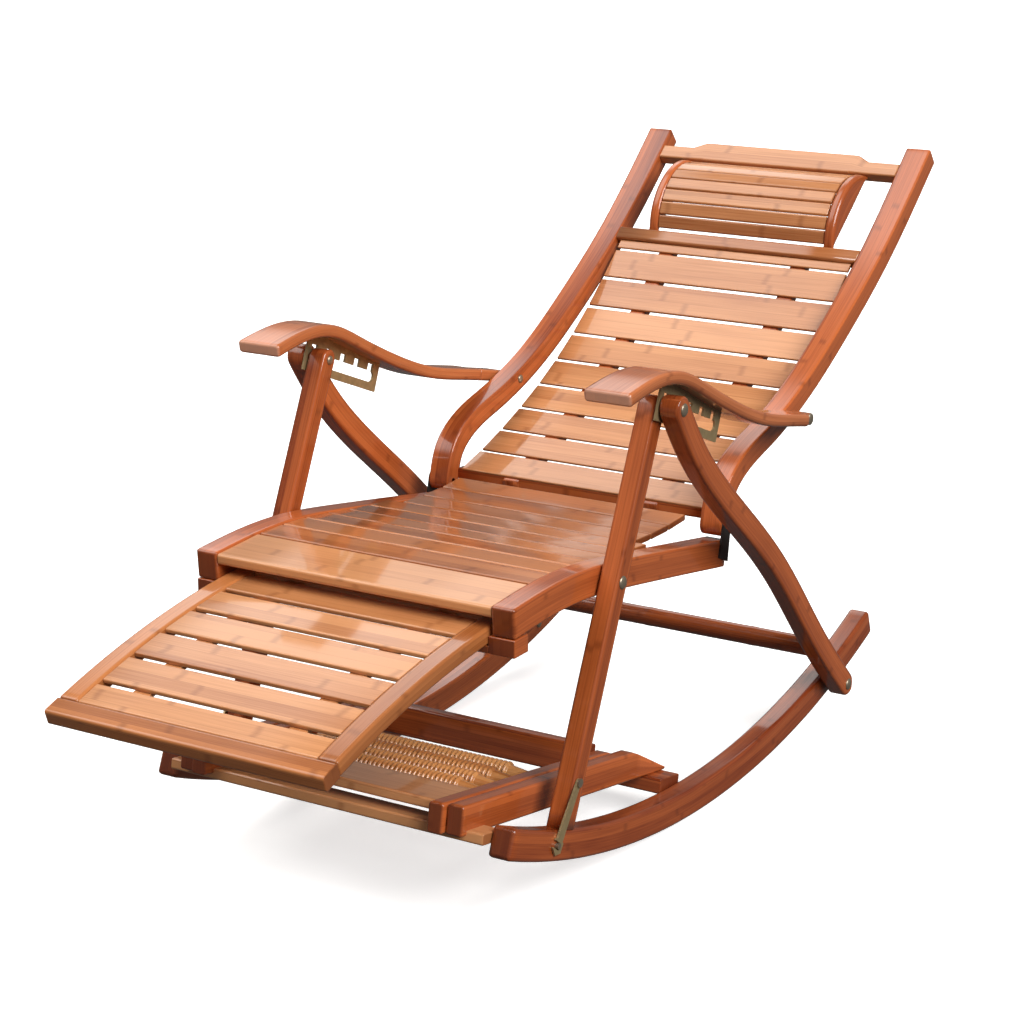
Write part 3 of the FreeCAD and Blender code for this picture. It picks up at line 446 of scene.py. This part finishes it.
# Seat slats: flat-grain bamboo strips let in between the rails, with eased edges and narrow gaps.
# The first is wide and thick for the sitter's knees. The last few stop short of the rails,
# which fall away under them, and rest on two thin battens.
SLAT_THICKNESS = 0.009
SLAT_GAP = 0.003
SLAT_EDGE = 0.0022
SLAT_END = 0.0015
SEAT_TOP = ((-0.535, 0.426), (-0.437, 0.431), (-0.340, 0.427), (-0.240, 0.4135), (-0.150, 0.4025),
            (-0.080, 0.398), (-0.020, 0.3975), (0.034, 0.4005))
SEAT_FRONT_SLAT = 0.092
SEAT_FRONT_THICKNESS = 0.015
SEAT_FRONT_EDGE = 0.004
SEAT_PITCH = 0.0526
SEAT_COUNT = 9
SHORT_COUNT = 3
SHORT_HALF = 0.190
SEAT_BATTEN_LENGTH = 0.215
SEAT_BATTEN = 0.006
BATTEN_X = 0.117
BATTEN_WIDTH = 0.026
BATTEN_EDGE = 0.0015


def slat(line, start, width, front, thickness, half_length, edge=SLAT_EDGE):
    """Flat strip across the chair over a stretch of a side-view line: its face stands a given
    height over the line on the left of its direction, and its body lies under that."""
    run = np.concatenate(([0.0], np.cumsum(np.hypot(*np.diff(line, axis=0).T))))
    p0, p1 = (np.array([np.interp(s, run, line[:, k]) for k in (0, 1)]) for s in (start, start + width))
    way = (p1 - p0) / np.hypot(*(p1 - p0))
    up = np.array((-way[1], way[0]))
    middle = (p0 + p1) / 2 + up * (front - thickness / 2)
    path = np.linspace((-half_length, middle[0] + FLOOR_CONTACT, middle[1]),
                       (half_length, middle[0] + FLOOR_CONTACT, middle[1]), 3)
    over = (0.0, -way[0], -way[1])
    return swept(path, over, np.hypot(*(p1 - p0)), thickness, edge, (SLAT_END, SLAT_END), 3)


def below(line, depth):
    """A side-view line moved to the right of its direction: point = p - depth n, n the left normal."""
    way = np.gradient(line, axis=0)
    way /= np.hypot(*way.T)[:, None]
    return line - depth * np.column_stack((-way[:, 1], way[:, 0]))


def batten_pair(line, thickness, edge, rings):
    """Two flat strips along a side-view line, one on each side of the chair's middle."""
    return [swept(at_x(line, side * BATTEN_X), ACROSS, BATTEN_WIDTH, thickness, edge, (0.0, 0.0), rings)
            for label, side in SIDES]


seat_bamboo = lacquered_bamboo(
    "amber_bamboo", "#BE7644", "#8A4820", "#6A3214", "#7A4020", strip=0.021, node_every=0.24)
inside = RAIL_X[0]
seat_top = side_curve(SEAT_TOP)
wide_slat = slat(seat_top, 0.0, SEAT_FRONT_SLAT, 0.0, SEAT_FRONT_THICKNESS, inside, SEAT_FRONT_EDGE)
bamboo_piece("wide_seat_slat", [wide_slat], slat_bamboo, "frame", "bamboo_slat", "seat_front_slat")
narrow = []
for i in range(SEAT_COUNT):
    start = SEAT_FRONT_SLAT + SLAT_GAP + i * SEAT_PITCH
    half = inside if i < SEAT_COUNT - SHORT_COUNT else SHORT_HALF
    narrow.append(slat(seat_top, start, SEAT_PITCH - SLAT_GAP, 0.0, SLAT_THICKNESS, half))
bamboo_piece("narrow_seat_slats", narrow, seat_bamboo, "frame", "bamboo_slat", "seat_slats")
seat_run = np.concatenate(([0.0], np.cumsum(np.hypot(*np.diff(seat_top, axis=0).T))))
seat_end = SEAT_FRONT_SLAT + SEAT_COUNT * SEAT_PITCH
under = below(seat_top, SLAT_THICKNESS + SEAT_BATTEN / 2)
under = under[(seat_run > seat_end - SEAT_BATTEN_LENGTH) & (seat_run < seat_end)]
bamboo_piece("seat_batten_pair", batten_pair(under, SEAT_BATTEN, BATTEN_EDGE, 30), frame_bamboo, "frame",
             "bamboo_rail", "seat_battens")

# Leg rest: a curved frame of paler bamboo with thin slats that slides out from under the seat.
# Two battens under its slats show as dark dashes in the open gaps.
REST_RADIUS = 1.5
REST_CENTRE = (-0.4075, -1.0977)
REST_FRONT = 0.4896
REST_LENGTH = 0.418
REST_OUTER = 0.207
REST_RAIL = 0.029
REST_DEPTH = 0.022
REST_FRONT_RAIL = 0.030
REST_EDGE = 0.004
REST_END = 0.003
REST_SLATS = 7
REST_PITCH = 0.0635
REST_GAP = 0.010
REST_FIRST_SLAT = 0.040
REST_FIRST_GAP = 0.001
REST_SLAT_DROP = 0.0015
REST_SLAT = 0.007
REST_BATTEN = 0.007
rest_bamboo = lacquered_bamboo(
    "honey_bamboo", "#C07844", "#8C4C22", "#683414", "#7A4020", strip=0.016, node_every=0.28)


def rest_line(start, end, drop, count=60):
    """Arc of the leg rest between two lengths back from its front end, below its top by a drop."""
    f = (REST_FRONT - np.linspace(start, end, count)) / REST_RADIUS
    r = REST_RADIUS - drop
    return np.column_stack((REST_CENTRE[0] - r * np.sin(f), REST_CENTRE[1] + r * np.cos(f)))


rest_inner = REST_OUTER - REST_RAIL
for label, side in SIDES:
    arc = rest_line(REST_FRONT_RAIL, REST_LENGTH, REST_DEPTH / 2)
    middle = at_x(arc, side * (REST_OUTER - REST_RAIL / 2))
    rail = swept(middle, ACROSS, REST_RAIL, REST_DEPTH, REST_EDGE, (REST_END, REST_END), 40)
    bamboo_piece(f"curved_rest_rail_{label}", [rail], rest_bamboo, "leg_rest", "bamboo_rail",
                 f"leg_rest_rail_{label}")
rest_top = rest_line(0.0, REST_LENGTH, 0.0, 200)
front_rail = slat(rest_top, 0.0, REST_FRONT_RAIL, 0.0, REST_DEPTH, REST_OUTER, REST_EDGE)
bamboo_piece("rest_front_rail", [front_rail], rest_bamboo, "leg_rest", "bamboo_rail", "leg_rest_front_rail")
first_end = REST_FRONT_RAIL + REST_FIRST_SLAT
strips = []
for i in range(REST_SLATS):
    start = max(first_end + (i - 1) * REST_PITCH + REST_GAP, REST_FRONT_RAIL + REST_FIRST_GAP)
    end = min(first_end + i * REST_PITCH, REST_LENGTH)
    strips.append(slat(rest_top, start, end - start, -REST_SLAT_DROP, REST_SLAT, rest_inner))
under = rest_line(REST_FRONT_RAIL, REST_LENGTH, REST_SLAT_DROP + REST_SLAT + REST_BATTEN / 2)
strips += batten_pair(under, REST_BATTEN, BATTEN_EDGE, 30)
bamboo_piece("rest_slats", strips, slat_bamboo, "leg_rest", "bamboo_slat", "leg_rest_slats")

# Hinge plates: pressed steel painted black, screwed to the rear of the seat rails.
# Their pins carry the foot of the back.
black_paint = plated_metal("black_painted_steel", "#2A2624", roughness=0.45, spots=0.004, shine=0.0)
for label, side in SIDES:
    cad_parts[f"back_hinge_{label}"].data.materials[0] = black_paint

# Back rails: long bars of laminated bamboo in a lounger's curve, a little wider towards the top.
# They are round at the foot, where they turn on the hinge plates' pins.
BACK_PIVOT = (0.044, 0.388)
BACK_LINE = ((0.746, 0.8255), (0.567, 0.681), (0.434, 0.597), (0.306, 0.529), (0.183, 0.486),
             (0.105, 0.463), (0.058, 0.428), BACK_PIVOT)
BACK_DEPTH = 0.032
BACK_FLARE = 0.008
BACK_FLARE_RUN = (0.300, 0.778)
BACK_END = 0.002
back_line = side_curve(BACK_LINE)
foot_way = (back_line[-1] - back_line[-2]) / np.hypot(*(back_line[-1] - back_line[-2]))
lead = np.linspace(0.1, 1.0, 8)[:, None] * BACK_DEPTH / 2
back_spine = np.vstack((back_line, back_line[-1] + lead * foot_way))
flare_start, flare_end = BACK_FLARE_RUN
flare = np.clip((back_spine[:, 0] - flare_start) / (flare_end - flare_start), 0.0, 1.0)
rail_outer = RAIL_X[1] + BACK_FLARE * flare
for label, side in SIDES:
    middle = at_x(back_spine, 0.0)
    middle[:, 0] = side * (RAIL_X[0] + rail_outer) / 2
    rail = swept(middle, ACROSS, rail_outer - RAIL_X[0], BACK_DEPTH, RAIL_EDGE, (BACK_END, "round"), 90)
    bamboo_piece(f"curved_back_rail_{label}", [rail], frame_bamboo, "back", "bamboo_rail",
                 f"back_rail_{label}")

# Cross rails: the top rail has a raised crown, the second carries the head pillow,
# and the bottom one ties the feet of the back rails behind the last slat.
BACK_TILT = math.radians(40.0)
BACK_UP = np.array((0.0, math.cos(BACK_TILT), math.sin(BACK_TILT)))
BACK_OUT = np.array((0.0, -math.sin(BACK_TILT), math.cos(BACK_TILT)))
TOP_RAIL = np.array((0.0, 0.7085 + FLOOR_CONTACT, 0.7985))
TOP_HEIGHT = 0.026
TOP_CROWN = 0.012
TOP_SLOPE = (0.133, 0.155)
SECOND_RAIL = np.array((0.0, 0.560 + FLOOR_CONTACT, 0.684))
SECOND_HEIGHT = 0.024
SECOND_EDGE = 0.004
CROSS_THICKNESS = 0.020
BOTTOM_RAIL = np.array((0.0, 0.066 + FLOOR_CONTACT, 0.396))
BOTTOM_SIZE = 0.017
FORWARD = (0.0, -1.0, 0.0)
cross_x = np.linspace(-inside, inside, 213)
slope = (TOP_SLOPE[1] - np.abs(cross_x)) / (TOP_SLOPE[1] - TOP_SLOPE[0])
rise = TOP_CROWN * np.clip(slope, 0.0, 1.0)
crown = TOP_RAIL + cross_x[:, None] * ACROSS + rise[:, None] / 2 * BACK_UP
top_rail = swept(crown, -BACK_OUT, CROSS_THICKNESS, TOP_HEIGHT + rise, RAIL_EDGE, (0.0, 0.0), 211)
bamboo_piece("crowned_top_rail", [top_rail], slat_bamboo, "back", "bamboo_rail", "top_rail")
flat_rail = SECOND_RAIL + cross_x[:, None] * ACROSS
second_rail = swept(flat_rail, -BACK_OUT, CROSS_THICKNESS, SECOND_HEIGHT, SECOND_EDGE, (0.0, 0.0), 3)
bamboo_piece("second_cross_rail", [second_rail], slat_bamboo, "back", "bamboo_rail", "second_rail")
low_rail = BOTTOM_RAIL + cross_x[:, None] * ACROSS
bottom_rail = swept(low_rail, FORWARD, BOTTOM_SIZE, BOTTOM_SIZE, RAIL_EDGE, (0.0, 0.0), 3)
bamboo_piece("bottom_cross_rail", [bottom_rail], frame_bamboo, "back", "bamboo_rail", "back_bottom_rail")

# Back slats: broad flat-grain strips with open gaps, and a narrow one under the second rail.
# Two battens behind carry them, since they stop short of the rails.
SLAT_LINE = ((0.5485, 0.679), (0.441, 0.588), (0.343, 0.522), (0.229, 0.465), (0.110, 0.421),
             (0.050, 0.404))
SLAT_HALF = 0.205
BACK_COUNT = 9
NARROW_SLAT = 0.0211
NARROW_GAP = 0.005
BACK_GAP = 0.0065
BACK_SLAT = 0.0045
BACK_SLAT_EDGE = 0.0018
BACK_BATTEN = 0.016
BACK_BATTEN_EDGE = 0.002
slat_line = side_curve(SLAT_LINE)
slat_run = np.hypot(*np.diff(slat_line, axis=0).T).sum()
upward = slat_line[::-1]
back_pitch = (slat_run - NARROW_SLAT) / BACK_COUNT
narrow_start = slat_run - NARROW_SLAT + NARROW_GAP
strip = slat(upward, narrow_start, slat_run - narrow_start, 0.0, BACK_SLAT, SLAT_HALF, BACK_SLAT_EDGE)
bamboo_piece("narrow_back_slat", [strip], slat_bamboo, "back", "bamboo_slat", "back_narrow_slat")
for i in range(BACK_COUNT):
    start = slat_run - NARROW_SLAT - (i + 1) * back_pitch + BACK_GAP
    strip = slat(upward, start, back_pitch - BACK_GAP, 0.0, BACK_SLAT, SLAT_HALF, BACK_SLAT_EDGE)
    bamboo_piece(f"broad_back_slat_{i + 1}", [strip], slat_bamboo, "back", "bamboo_slat",
                 f"back_slat_{i + 1}")
behind = below(upward, BACK_SLAT + BACK_BATTEN / 2)
battens = batten_pair(behind, BACK_BATTEN, BACK_BATTEN_EDGE, 60)
bamboo_piece("back_batten_pair", battens, frame_bamboo, "back", "bamboo_rail", "back_battens")

# Head pillow: narrow strips bent round the front of two D-shaped cheeks, as on a roll-top.
# It sits on the second rail, under the top rail, and is open at its foot.
PILLOW_OUTER = 0.164
PILLOW_INNER = 0.147
PILLOW_BULGE = 0.044
PILLOW_STRIPS = 8
PILLOW_FOOT = 0.008
PILLOW_STRIP = 0.007
PILLOW_STRIP_EDGE = 0.0026
PILLOW_GAP = 0.0018
PILLOW_PROUD = 0.0005
CHEEK_EDGE = 0.006
CHEEK_TIP = 0.002
pillow_low = SECOND_RAIL + BACK_UP * SECOND_HEIGHT / 2
pillow_high = TOP_RAIL - BACK_UP * TOP_HEIGHT / 2
pillow_span = np.linalg.norm(pillow_high - pillow_low)
pillow_up = (pillow_high - pillow_low) / pillow_span
pillow_out = np.array((0.0, -pillow_up[2], pillow_up[1]))
pillow_radius = (pillow_span**2 / 4 + PILLOW_BULGE**2) / (2 * PILLOW_BULGE)
opening = math.asin(pillow_span / 2 / pillow_radius)
pillow_centre = (pillow_low + pillow_high) / 2 + pillow_out * (PILLOW_BULGE - pillow_radius)


def pillow_arc(f):
    """Side-view points of the pillow's front at angles from its crest, on its circle."""
    f = np.asarray(f)[:, None]
    front = pillow_centre + pillow_radius * (np.sin(f) * pillow_up + np.cos(f) * pillow_out)
    return front[:, 1:] - (FLOOR_CONTACT, 0.0)


edges = np.linspace(PILLOW_FOOT / pillow_radius - opening, opening, PILLOW_STRIPS + 1)
strips = []
for low, high in zip(edges[:-1], edges[1:]):
    arc_line = pillow_arc(np.linspace(low, high, 9))
    width = np.hypot(*np.diff(arc_line, axis=0).T).sum()
    strips.append(slat(arc_line, PILLOW_GAP / 2, width - PILLOW_GAP, PILLOW_PROUD, PILLOW_STRIP,
                       PILLOW_INNER, PILLOW_STRIP_EDGE))
bamboo_piece("pillow_strips", strips, slat_bamboo, "back", "bamboo_slat", "pillow_slats")
rim = pillow_arc(np.linspace(-opening, opening, 60))
base_middle = (pillow_low + pillow_high)[1:] / 2 - (FLOOR_CONTACT, 0.0)
depth = (rim - base_middle) @ pillow_out[1:]
cheek_line = rim - pillow_out[1:] * depth[:, None] / 2
for label, side in SIDES:
    middle = at_x(cheek_line, side * (PILLOW_OUTER + PILLOW_INNER) / 2)
    cheek = swept(middle, ACROSS, PILLOW_OUTER - PILLOW_INNER, np.maximum(depth, CHEEK_TIP), CHEEK_EDGE,
                  (0.0, 0.0), 50)
    bamboo_piece(f"pillow_cheek_board_{label}", [cheek], frame_bamboo, "back", "bamboo_rail",
                 f"pillow_cheek_{label}")

# Armrests: boards sawn in a wave, broad at the front for the hand and lower at the back.
# A narrow tongue at the rear turns on a bolt in the back rail.
ARM_LINE = ((-0.353, 0.660), (-0.300, 0.667), (-0.250, 0.668), (-0.200, 0.658), (-0.150, 0.636),
            (-0.050, 0.588), (0.055, 0.548), (0.150, 0.526), ARM_PIVOT)
ARM_THICKNESS = 0.018
ARM_OUTER = 0.306
ARM_FLARE = 0.013
ARM_FLARE_RUN = (-0.371, -0.120)
ARM_BOARD_END = 0.190
ARM_BOARD_EDGE = 0.005
ARM_BOARD_CUT = 0.004
ARM_TAIL = 0.013
TONGUE_LAP = 0.005
TONGUE_EDGE = 0.004
TONGUE_CUT = 0.006
arm_bamboo = lacquered_bamboo(
    "wide_strip_bamboo", "#C87444", "#8A421E", "#602810", "#D9A78E", strip=0.017, node_every=0.31)
arm_line = side_curve(ARM_LINE, 300)
arm_way = (arm_line[-1] - arm_line[-2]) / np.hypot(*(arm_line[-1] - arm_line[-2]))
arm_tail = arm_line[-1] + np.linspace(0.1, 1.0, 6)[:, None] * ARM_TAIL * arm_way
board_line = arm_line[arm_line[:, 0] <= ARM_BOARD_END]
tongue_line = np.vstack((arm_line[arm_line[:, 0] > ARM_BOARD_END - TONGUE_LAP], arm_tail))
flare_start, flare_end = ARM_FLARE_RUN
flare = np.clip((flare_end - board_line[:, 0]) / (flare_end - flare_start), 0.0, 1.0)
arm_inner = TONGUE_X[0] - ARM_FLARE * flare
for label, side in SIDES:
    middle = at_x(board_line, 0.0)
    middle[:, 0] = side * (arm_inner + ARM_OUTER) / 2
    board = swept(middle, ACROSS, ARM_OUTER - arm_inner, ARM_THICKNESS, ARM_BOARD_EDGE,
                  (ARM_BOARD_CUT, ARM_BOARD_CUT), 90)
    tail = at_x(tongue_line, side * sum(TONGUE_X) / 2)
    tongue = swept(tail, ACROSS, TONGUE_X[1] - TONGUE_X[0], ARM_THICKNESS, TONGUE_EDGE, (0.0, TONGUE_CUT), 20)
    bamboo_piece(f"wave_armrest_{label}", [board, tongue], arm_bamboo, f"armrest_{label}", "bamboo_slat",
                 f"armrest_{label}")

# Notch plates and hooks: stamped brass-plated steel.
# The plates set the back's angle, and the hooks hold the front legs' feet on the rockers.
brass = plated_metal("brass_plated_steel", "#B7A075", roughness=0.40, spots=0.008, shine=0.5)
for label, side in SIDES:
    for node in (f"notch_plate_{label}", f"hook_{label}"):
        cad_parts[node].data.materials[0] = brass
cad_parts["hook_pins"].data.materials[0] = zinc

# Guide blocks: small bamboo blocks glued under the front of the seat rails.
# Each has a lip under the leg rest's rail, which slides on it.
GUIDE_Y = (-0.535, -0.501)
GUIDE_LOW = 0.3641
GUIDE_LIP = 0.3745
GUIDE_TOP = 0.3875
GUIDE_LAP = 0.001
GUIDE_PLAY = 0.0004
GUIDE_EDGE = 0.0015
lip = (rest_inner, REST_OUTER + GUIDE_LAP, GUIDE_LIP)
block = (REST_OUTER + GUIDE_PLAY, RAIL_X[1], GUIDE_TOP)
guides = []
for label, side in SIDES:
    for x0, x1, top in (lip, block):
        level = (GUIDE_LOW + top) / 2
        line = at_x(np.linspace((GUIDE_Y[0], level), (GUIDE_Y[1], level), 3), side * (x0 + x1) / 2)
        guides.append(swept(line, ACROSS, x1 - x0, top - GUIDE_LOW, GUIDE_EDGE, (GUIDE_EDGE, GUIDE_EDGE), 3))
bamboo_piece("guide_block_pairs", guides, frame_bamboo, "frame", "bamboo_rail", "guide_blocks")

# Foot tray: straight bamboo bars in pairs with their rear ends sloped off, and boards between them.
# Two cross slats under the bars tie the rockers together. The heel board stands on its edge.
TRAY_FRONT = np.array((-0.612, 0.190))
TRAY_REAR = np.array((-0.070, 0.092))
TRAY_HEIGHT = 0.040
TRAY_EDGE = 0.004
TRAY_END = 0.003
TRAY_CHAMFER = 0.036
CHAMFER_RUN = 0.1
OUTER_BAR_X = (0.196, 0.220)
INNER_BAR_X = (0.173, 0.195)
INNER_BAR_START = -0.008
INNER_BAR_SHORT = 0.030
TOE_BOARD = (0.022, 0.112)
TOE_BOARD_DROP = 0.006
TOE_BOARD_THICKNESS = 0.014
FRONT_TIE = (0.012, 0.056)
FRONT_TIE_DROP = 0.032
FRONT_TIE_THICKNESS = 0.015
HEEL_BOARD_START = 0.396
HEEL_BOARD_THICKNESS = 0.026
HEEL_BOARD_RISE = 0.008
HEEL_BOARD_HEIGHT = 0.044
REAR_TIE_START = -0.059
REAR_TIE_WIDTH = 0.056
REAR_TIE_THICKNESS = 0.022
tray_line = np.linspace(TRAY_FRONT, TRAY_REAR, 60)
tray_length = np.hypot(*(TRAY_REAR - TRAY_FRONT))
tray_way = (TRAY_REAR - TRAY_FRONT) / tray_length
tray_up = np.array((-tray_way[1], tray_way[0]))


def tray_bar(start, end, bar_x, side):
    """Straight bar along the tray between two lengths from its front, flush with the tray's top.
    The top of its last stretch is taken down in a straight line, as a saw would cut it."""
    ends = [TRAY_FRONT + tray_way * s - tray_up * TRAY_HEIGHT / 2 for s in (start, end)]
    middle = at_x(np.linspace(*ends, 3), side * sum(bar_x) / 2)
    made = swept(middle, ACROSS, bar_x[1] - bar_x[0], TRAY_HEIGHT, TRAY_EDGE, (TRAY_END, TRAY_END), 60)
    place = made[0][..., 1:] - (TRAY_FRONT + (FLOOR_CONTACT, 0.0))
    limit = -TRAY_CHAMFER * np.clip((place @ tray_way - end + CHAMFER_RUN) / CHAMFER_RUN, 0.0, 1.0)
    made[0][..., 1:] += np.minimum(limit - place @ tray_up, 0.0)[..., None] * tray_up
    return made


between_bars = INNER_BAR_X[0]
between_rockers = ROCKER_X[0]
for label, side in SIDES:
    outer = tray_bar(0.0, tray_length, OUTER_BAR_X, side)
    inner = tray_bar(INNER_BAR_START, tray_length - INNER_BAR_SHORT, INNER_BAR_X, side)
    bamboo_piece(f"tray_outer_{label}", [outer], frame_bamboo, "frame", "bamboo_rail",
                 f"tray_outer_bar_{label}")
    bamboo_piece(f"tray_inner_{label}", [inner], frame_bamboo, "frame", "bamboo_rail",
                 f"tray_inner_bar_{label}")
start, end = TOE_BOARD
toe_board = slat(tray_line, start, end - start, -TOE_BOARD_DROP, TOE_BOARD_THICKNESS, between_bars, TRAY_END)
bamboo_piece("tray_front_plank", [toe_board], slat_bamboo, "frame", "bamboo_slat", "tray_front_board")
start, end = FRONT_TIE
front_tie = slat(tray_line, start, end - start, -FRONT_TIE_DROP, FRONT_TIE_THICKNESS, between_rockers,
                 TRAY_END)
bamboo_piece("front_tie_slat", [front_tie], slat_bamboo, "frame", "bamboo_slat", "front_cross_slat")
heel_board = slat(tray_line, HEEL_BOARD_START, HEEL_BOARD_THICKNESS, HEEL_BOARD_RISE, HEEL_BOARD_HEIGHT,
                  between_bars, TRAY_END)
bamboo_piece("tray_heel_board", [heel_board], frame_bamboo, "frame", "bamboo_slat", "tray_rear_board")
rear_tie = slat(tray_line, tray_length + REAR_TIE_START, REAR_TIE_WIDTH, -TRAY_HEIGHT, REAR_TIE_THICKNESS,
                between_rockers, TRAY_END)
bamboo_piece("rear_tie_slat", [rear_tie], frame_bamboo, "frame", "bamboo_slat", "rear_cross_slat")

# Foot rollers: turned beech with a row of beads along each and tapered ends.
# They spin on steel axles that are let into the tray's inner bars.
ROLLER_START = 0.146
ROLLER_PITCH = 0.042
ROLLER_RADIUS = 0.016
ROLLER_HALF = 0.160
ROLLER_CONE = 0.034
ROLLER_BEADS = 36
ROLLER_COUNT = 4
BEAD_DEPTH = 0.0045
BEAD_FULLNESS = 0.7
CONE_TIP = 0.0075
CONE_RISE = 0.0045
AXLE_RADIUS = 0.004
AXLE_HALF = 0.195
beech = lacquered_bamboo(
    "turned_beech", "#D99A5E", "#A8622E", "#6E3A18", "#6E3A18", strip=0.012, node_every=0.9)
bead_x = np.linspace(-ROLLER_HALF, ROLLER_HALF, 457)
ribbed = ROLLER_HALF - ROLLER_CONE
phase = (bead_x + ribbed) / (2 * ribbed) * ROLLER_BEADS
bead_r = ROLLER_RADIUS - BEAD_DEPTH * (1 - np.abs(np.sin(np.pi * phase)) ** BEAD_FULLNESS)
cone_r = CONE_TIP + CONE_RISE * (ROLLER_HALF - np.abs(bead_x)) / ROLLER_CONE
roller_r = np.where(np.abs(bead_x) < ribbed, bead_r, cone_r)
axles = []
for i in range(ROLLER_COUNT):
    centre = TRAY_FRONT + tray_way * (ROLLER_START + i * ROLLER_PITCH) - tray_up * TRAY_HEIGHT / 2
    spool = turned(np.column_stack((bead_x, roller_r)), centre, 24)
    bamboo_piece(f"bead_roller_{i + 1}", [spool], beech, f"foot_roller_{i + 1}", "turned_wood",
                 f"foot_roller_{i + 1}")
    axles.append(turned(((-AXLE_HALF, AXLE_RADIUS), (AXLE_HALF, AXLE_RADIUS)), centre, 16))
bamboo_piece("roller_axle_rods", axles, zinc, "frame", "steel_fixings", "roller_axles")

# Studio: a white paper floor in a dim room that is darker low down, with two softboxes overhead
# and one to the side. The floor glows a little, as paper lit from below does, and throws no light
# back on the chair. A softbox is a way to it, half its spread in degrees and its strength.
FLOOR_HALF = 40.0
FLOOR_GLOW = 0.6
ROOM_GLOW = 0.17
LOW_SHARE = 0.5
LOW_BAND = (-0.4, 0.1)
SOFTBOXES = (((-0.49, -0.27, 0.83), 24.0, 3.1), ((-0.49, 0.62, 0.61), 12.0, 1.8))
SOFTBOX_FADE = (9.0, -7.0)
SIDE_STRENGTH = 3.4
SIDE_SPREAD = 40.0
SIDE_TURN = (14.0, 50.0, 0.0)
floor_corners = [(-FLOOR_HALF, -FLOOR_HALF, 0), (FLOOR_HALF, -FLOOR_HALF, 0),
                 (FLOOR_HALF, FLOOR_HALF, 0), (-FLOOR_HALF, FLOOR_HALF, 0)]
floor_mesh = bpy.data.meshes.new("floor")
floor_mesh.from_pydata(floor_corners, [], [(0, 1, 2, 3)])
paper = bpy.data.materials.new("white_paper")
paper.use_nodes = True
paper_shader = paper.node_tree.nodes["Principled BSDF"]
paper_shader.inputs["Base Color"].default_value = linear("#F7F6F5")
paper_shader.inputs["Roughness"].default_value = 0.9
paper_shader.inputs["Emission Color"].default_value = linear("#FFFFFF")
paper_shader.inputs["Emission Strength"].default_value = FLOOR_GLOW
floor_mesh.materials.append(paper)
floor = bpy.data.objects.new("floor", floor_mesh)
floor.visible_diffuse = False
floor.visible_glossy = False
bpy.context.scene.collection.objects.link(floor)
world = bpy.data.worlds.new("softbox_room")
world.use_nodes = True
room = world.node_tree
look_way = add_node(room, "ShaderNodeTexCoord").outputs["Generated"]
height = add_node(room, "ShaderNodeSeparateXYZ", {0: look_way}).outputs["Z"]
glow = add_node(room, "ShaderNodeMapRange", {
    "Value": height, "From Min": LOW_BAND[0], "From Max": LOW_BAND[1],
    "To Min": LOW_SHARE * ROOM_GLOW, "To Max": ROOM_GLOW,
}).outputs[0]
for way, spread, strength in SOFTBOXES:
    toward = add_node(room, "ShaderNodeVectorMath", {
        0: look_way, 1: way}, operation="DOT_PRODUCT").outputs["Value"]
    outside, full = (math.cos(math.radians(spread + fade)) for fade in SOFTBOX_FADE)
    inside_box = add_node(room, "ShaderNodeMapRange", {
        "Value": toward, "From Min": outside, "From Max": full, "To Min": 0.0, "To Max": strength,
    }, interpolation_type="SMOOTHSTEP").outputs[0]
    glow = add_node(room, "ShaderNodeMath", {0: inside_box, 1: glow}, operation="ADD").outputs[0]
room.links.new(glow, room.nodes["Background"].inputs["Strength"])
room.nodes["Background"].inputs["Color"].default_value = linear("#FFFCF8")
bpy.context.scene.world = world
side_light = bpy.data.lights.new("side_softbox", "SUN")
side_light.energy = SIDE_STRENGTH
side_light.angle = math.radians(SIDE_SPREAD)
side_object = bpy.data.objects.new("side_softbox", side_light)
side_object.rotation_euler = np.radians(SIDE_TURN)
bpy.context.scene.collection.objects.link(side_object)

# Camera: a long lens off the chair's front right corner, above the armrests.
# It looks down at the seat, with the whole chair in the picture.
CAMERA_PLACE = (1.7483, -2.9558, 1.4069)
CAMERA_SENSOR = 36.0
CAMERA_LENS = 87.93
CAMERA_DOWN = 16.37
CAMERA_TURN = 31.20
camera = bpy.data.cameras.new("camera")
camera.sensor_width = CAMERA_SENSOR
camera.lens = CAMERA_LENS
camera_object = bpy.data.objects.new("camera", camera)
camera_object.location = CAMERA_PLACE
camera_object.rotation_euler = np.radians((90.0 - CAMERA_DOWN, 0.0, CAMERA_TURN))
bpy.context.scene.collection.objects.link(camera_object)
bpy.context.scene.camera = camera_object
bpy.context.scene.view_settings.view_transform = "Standard"
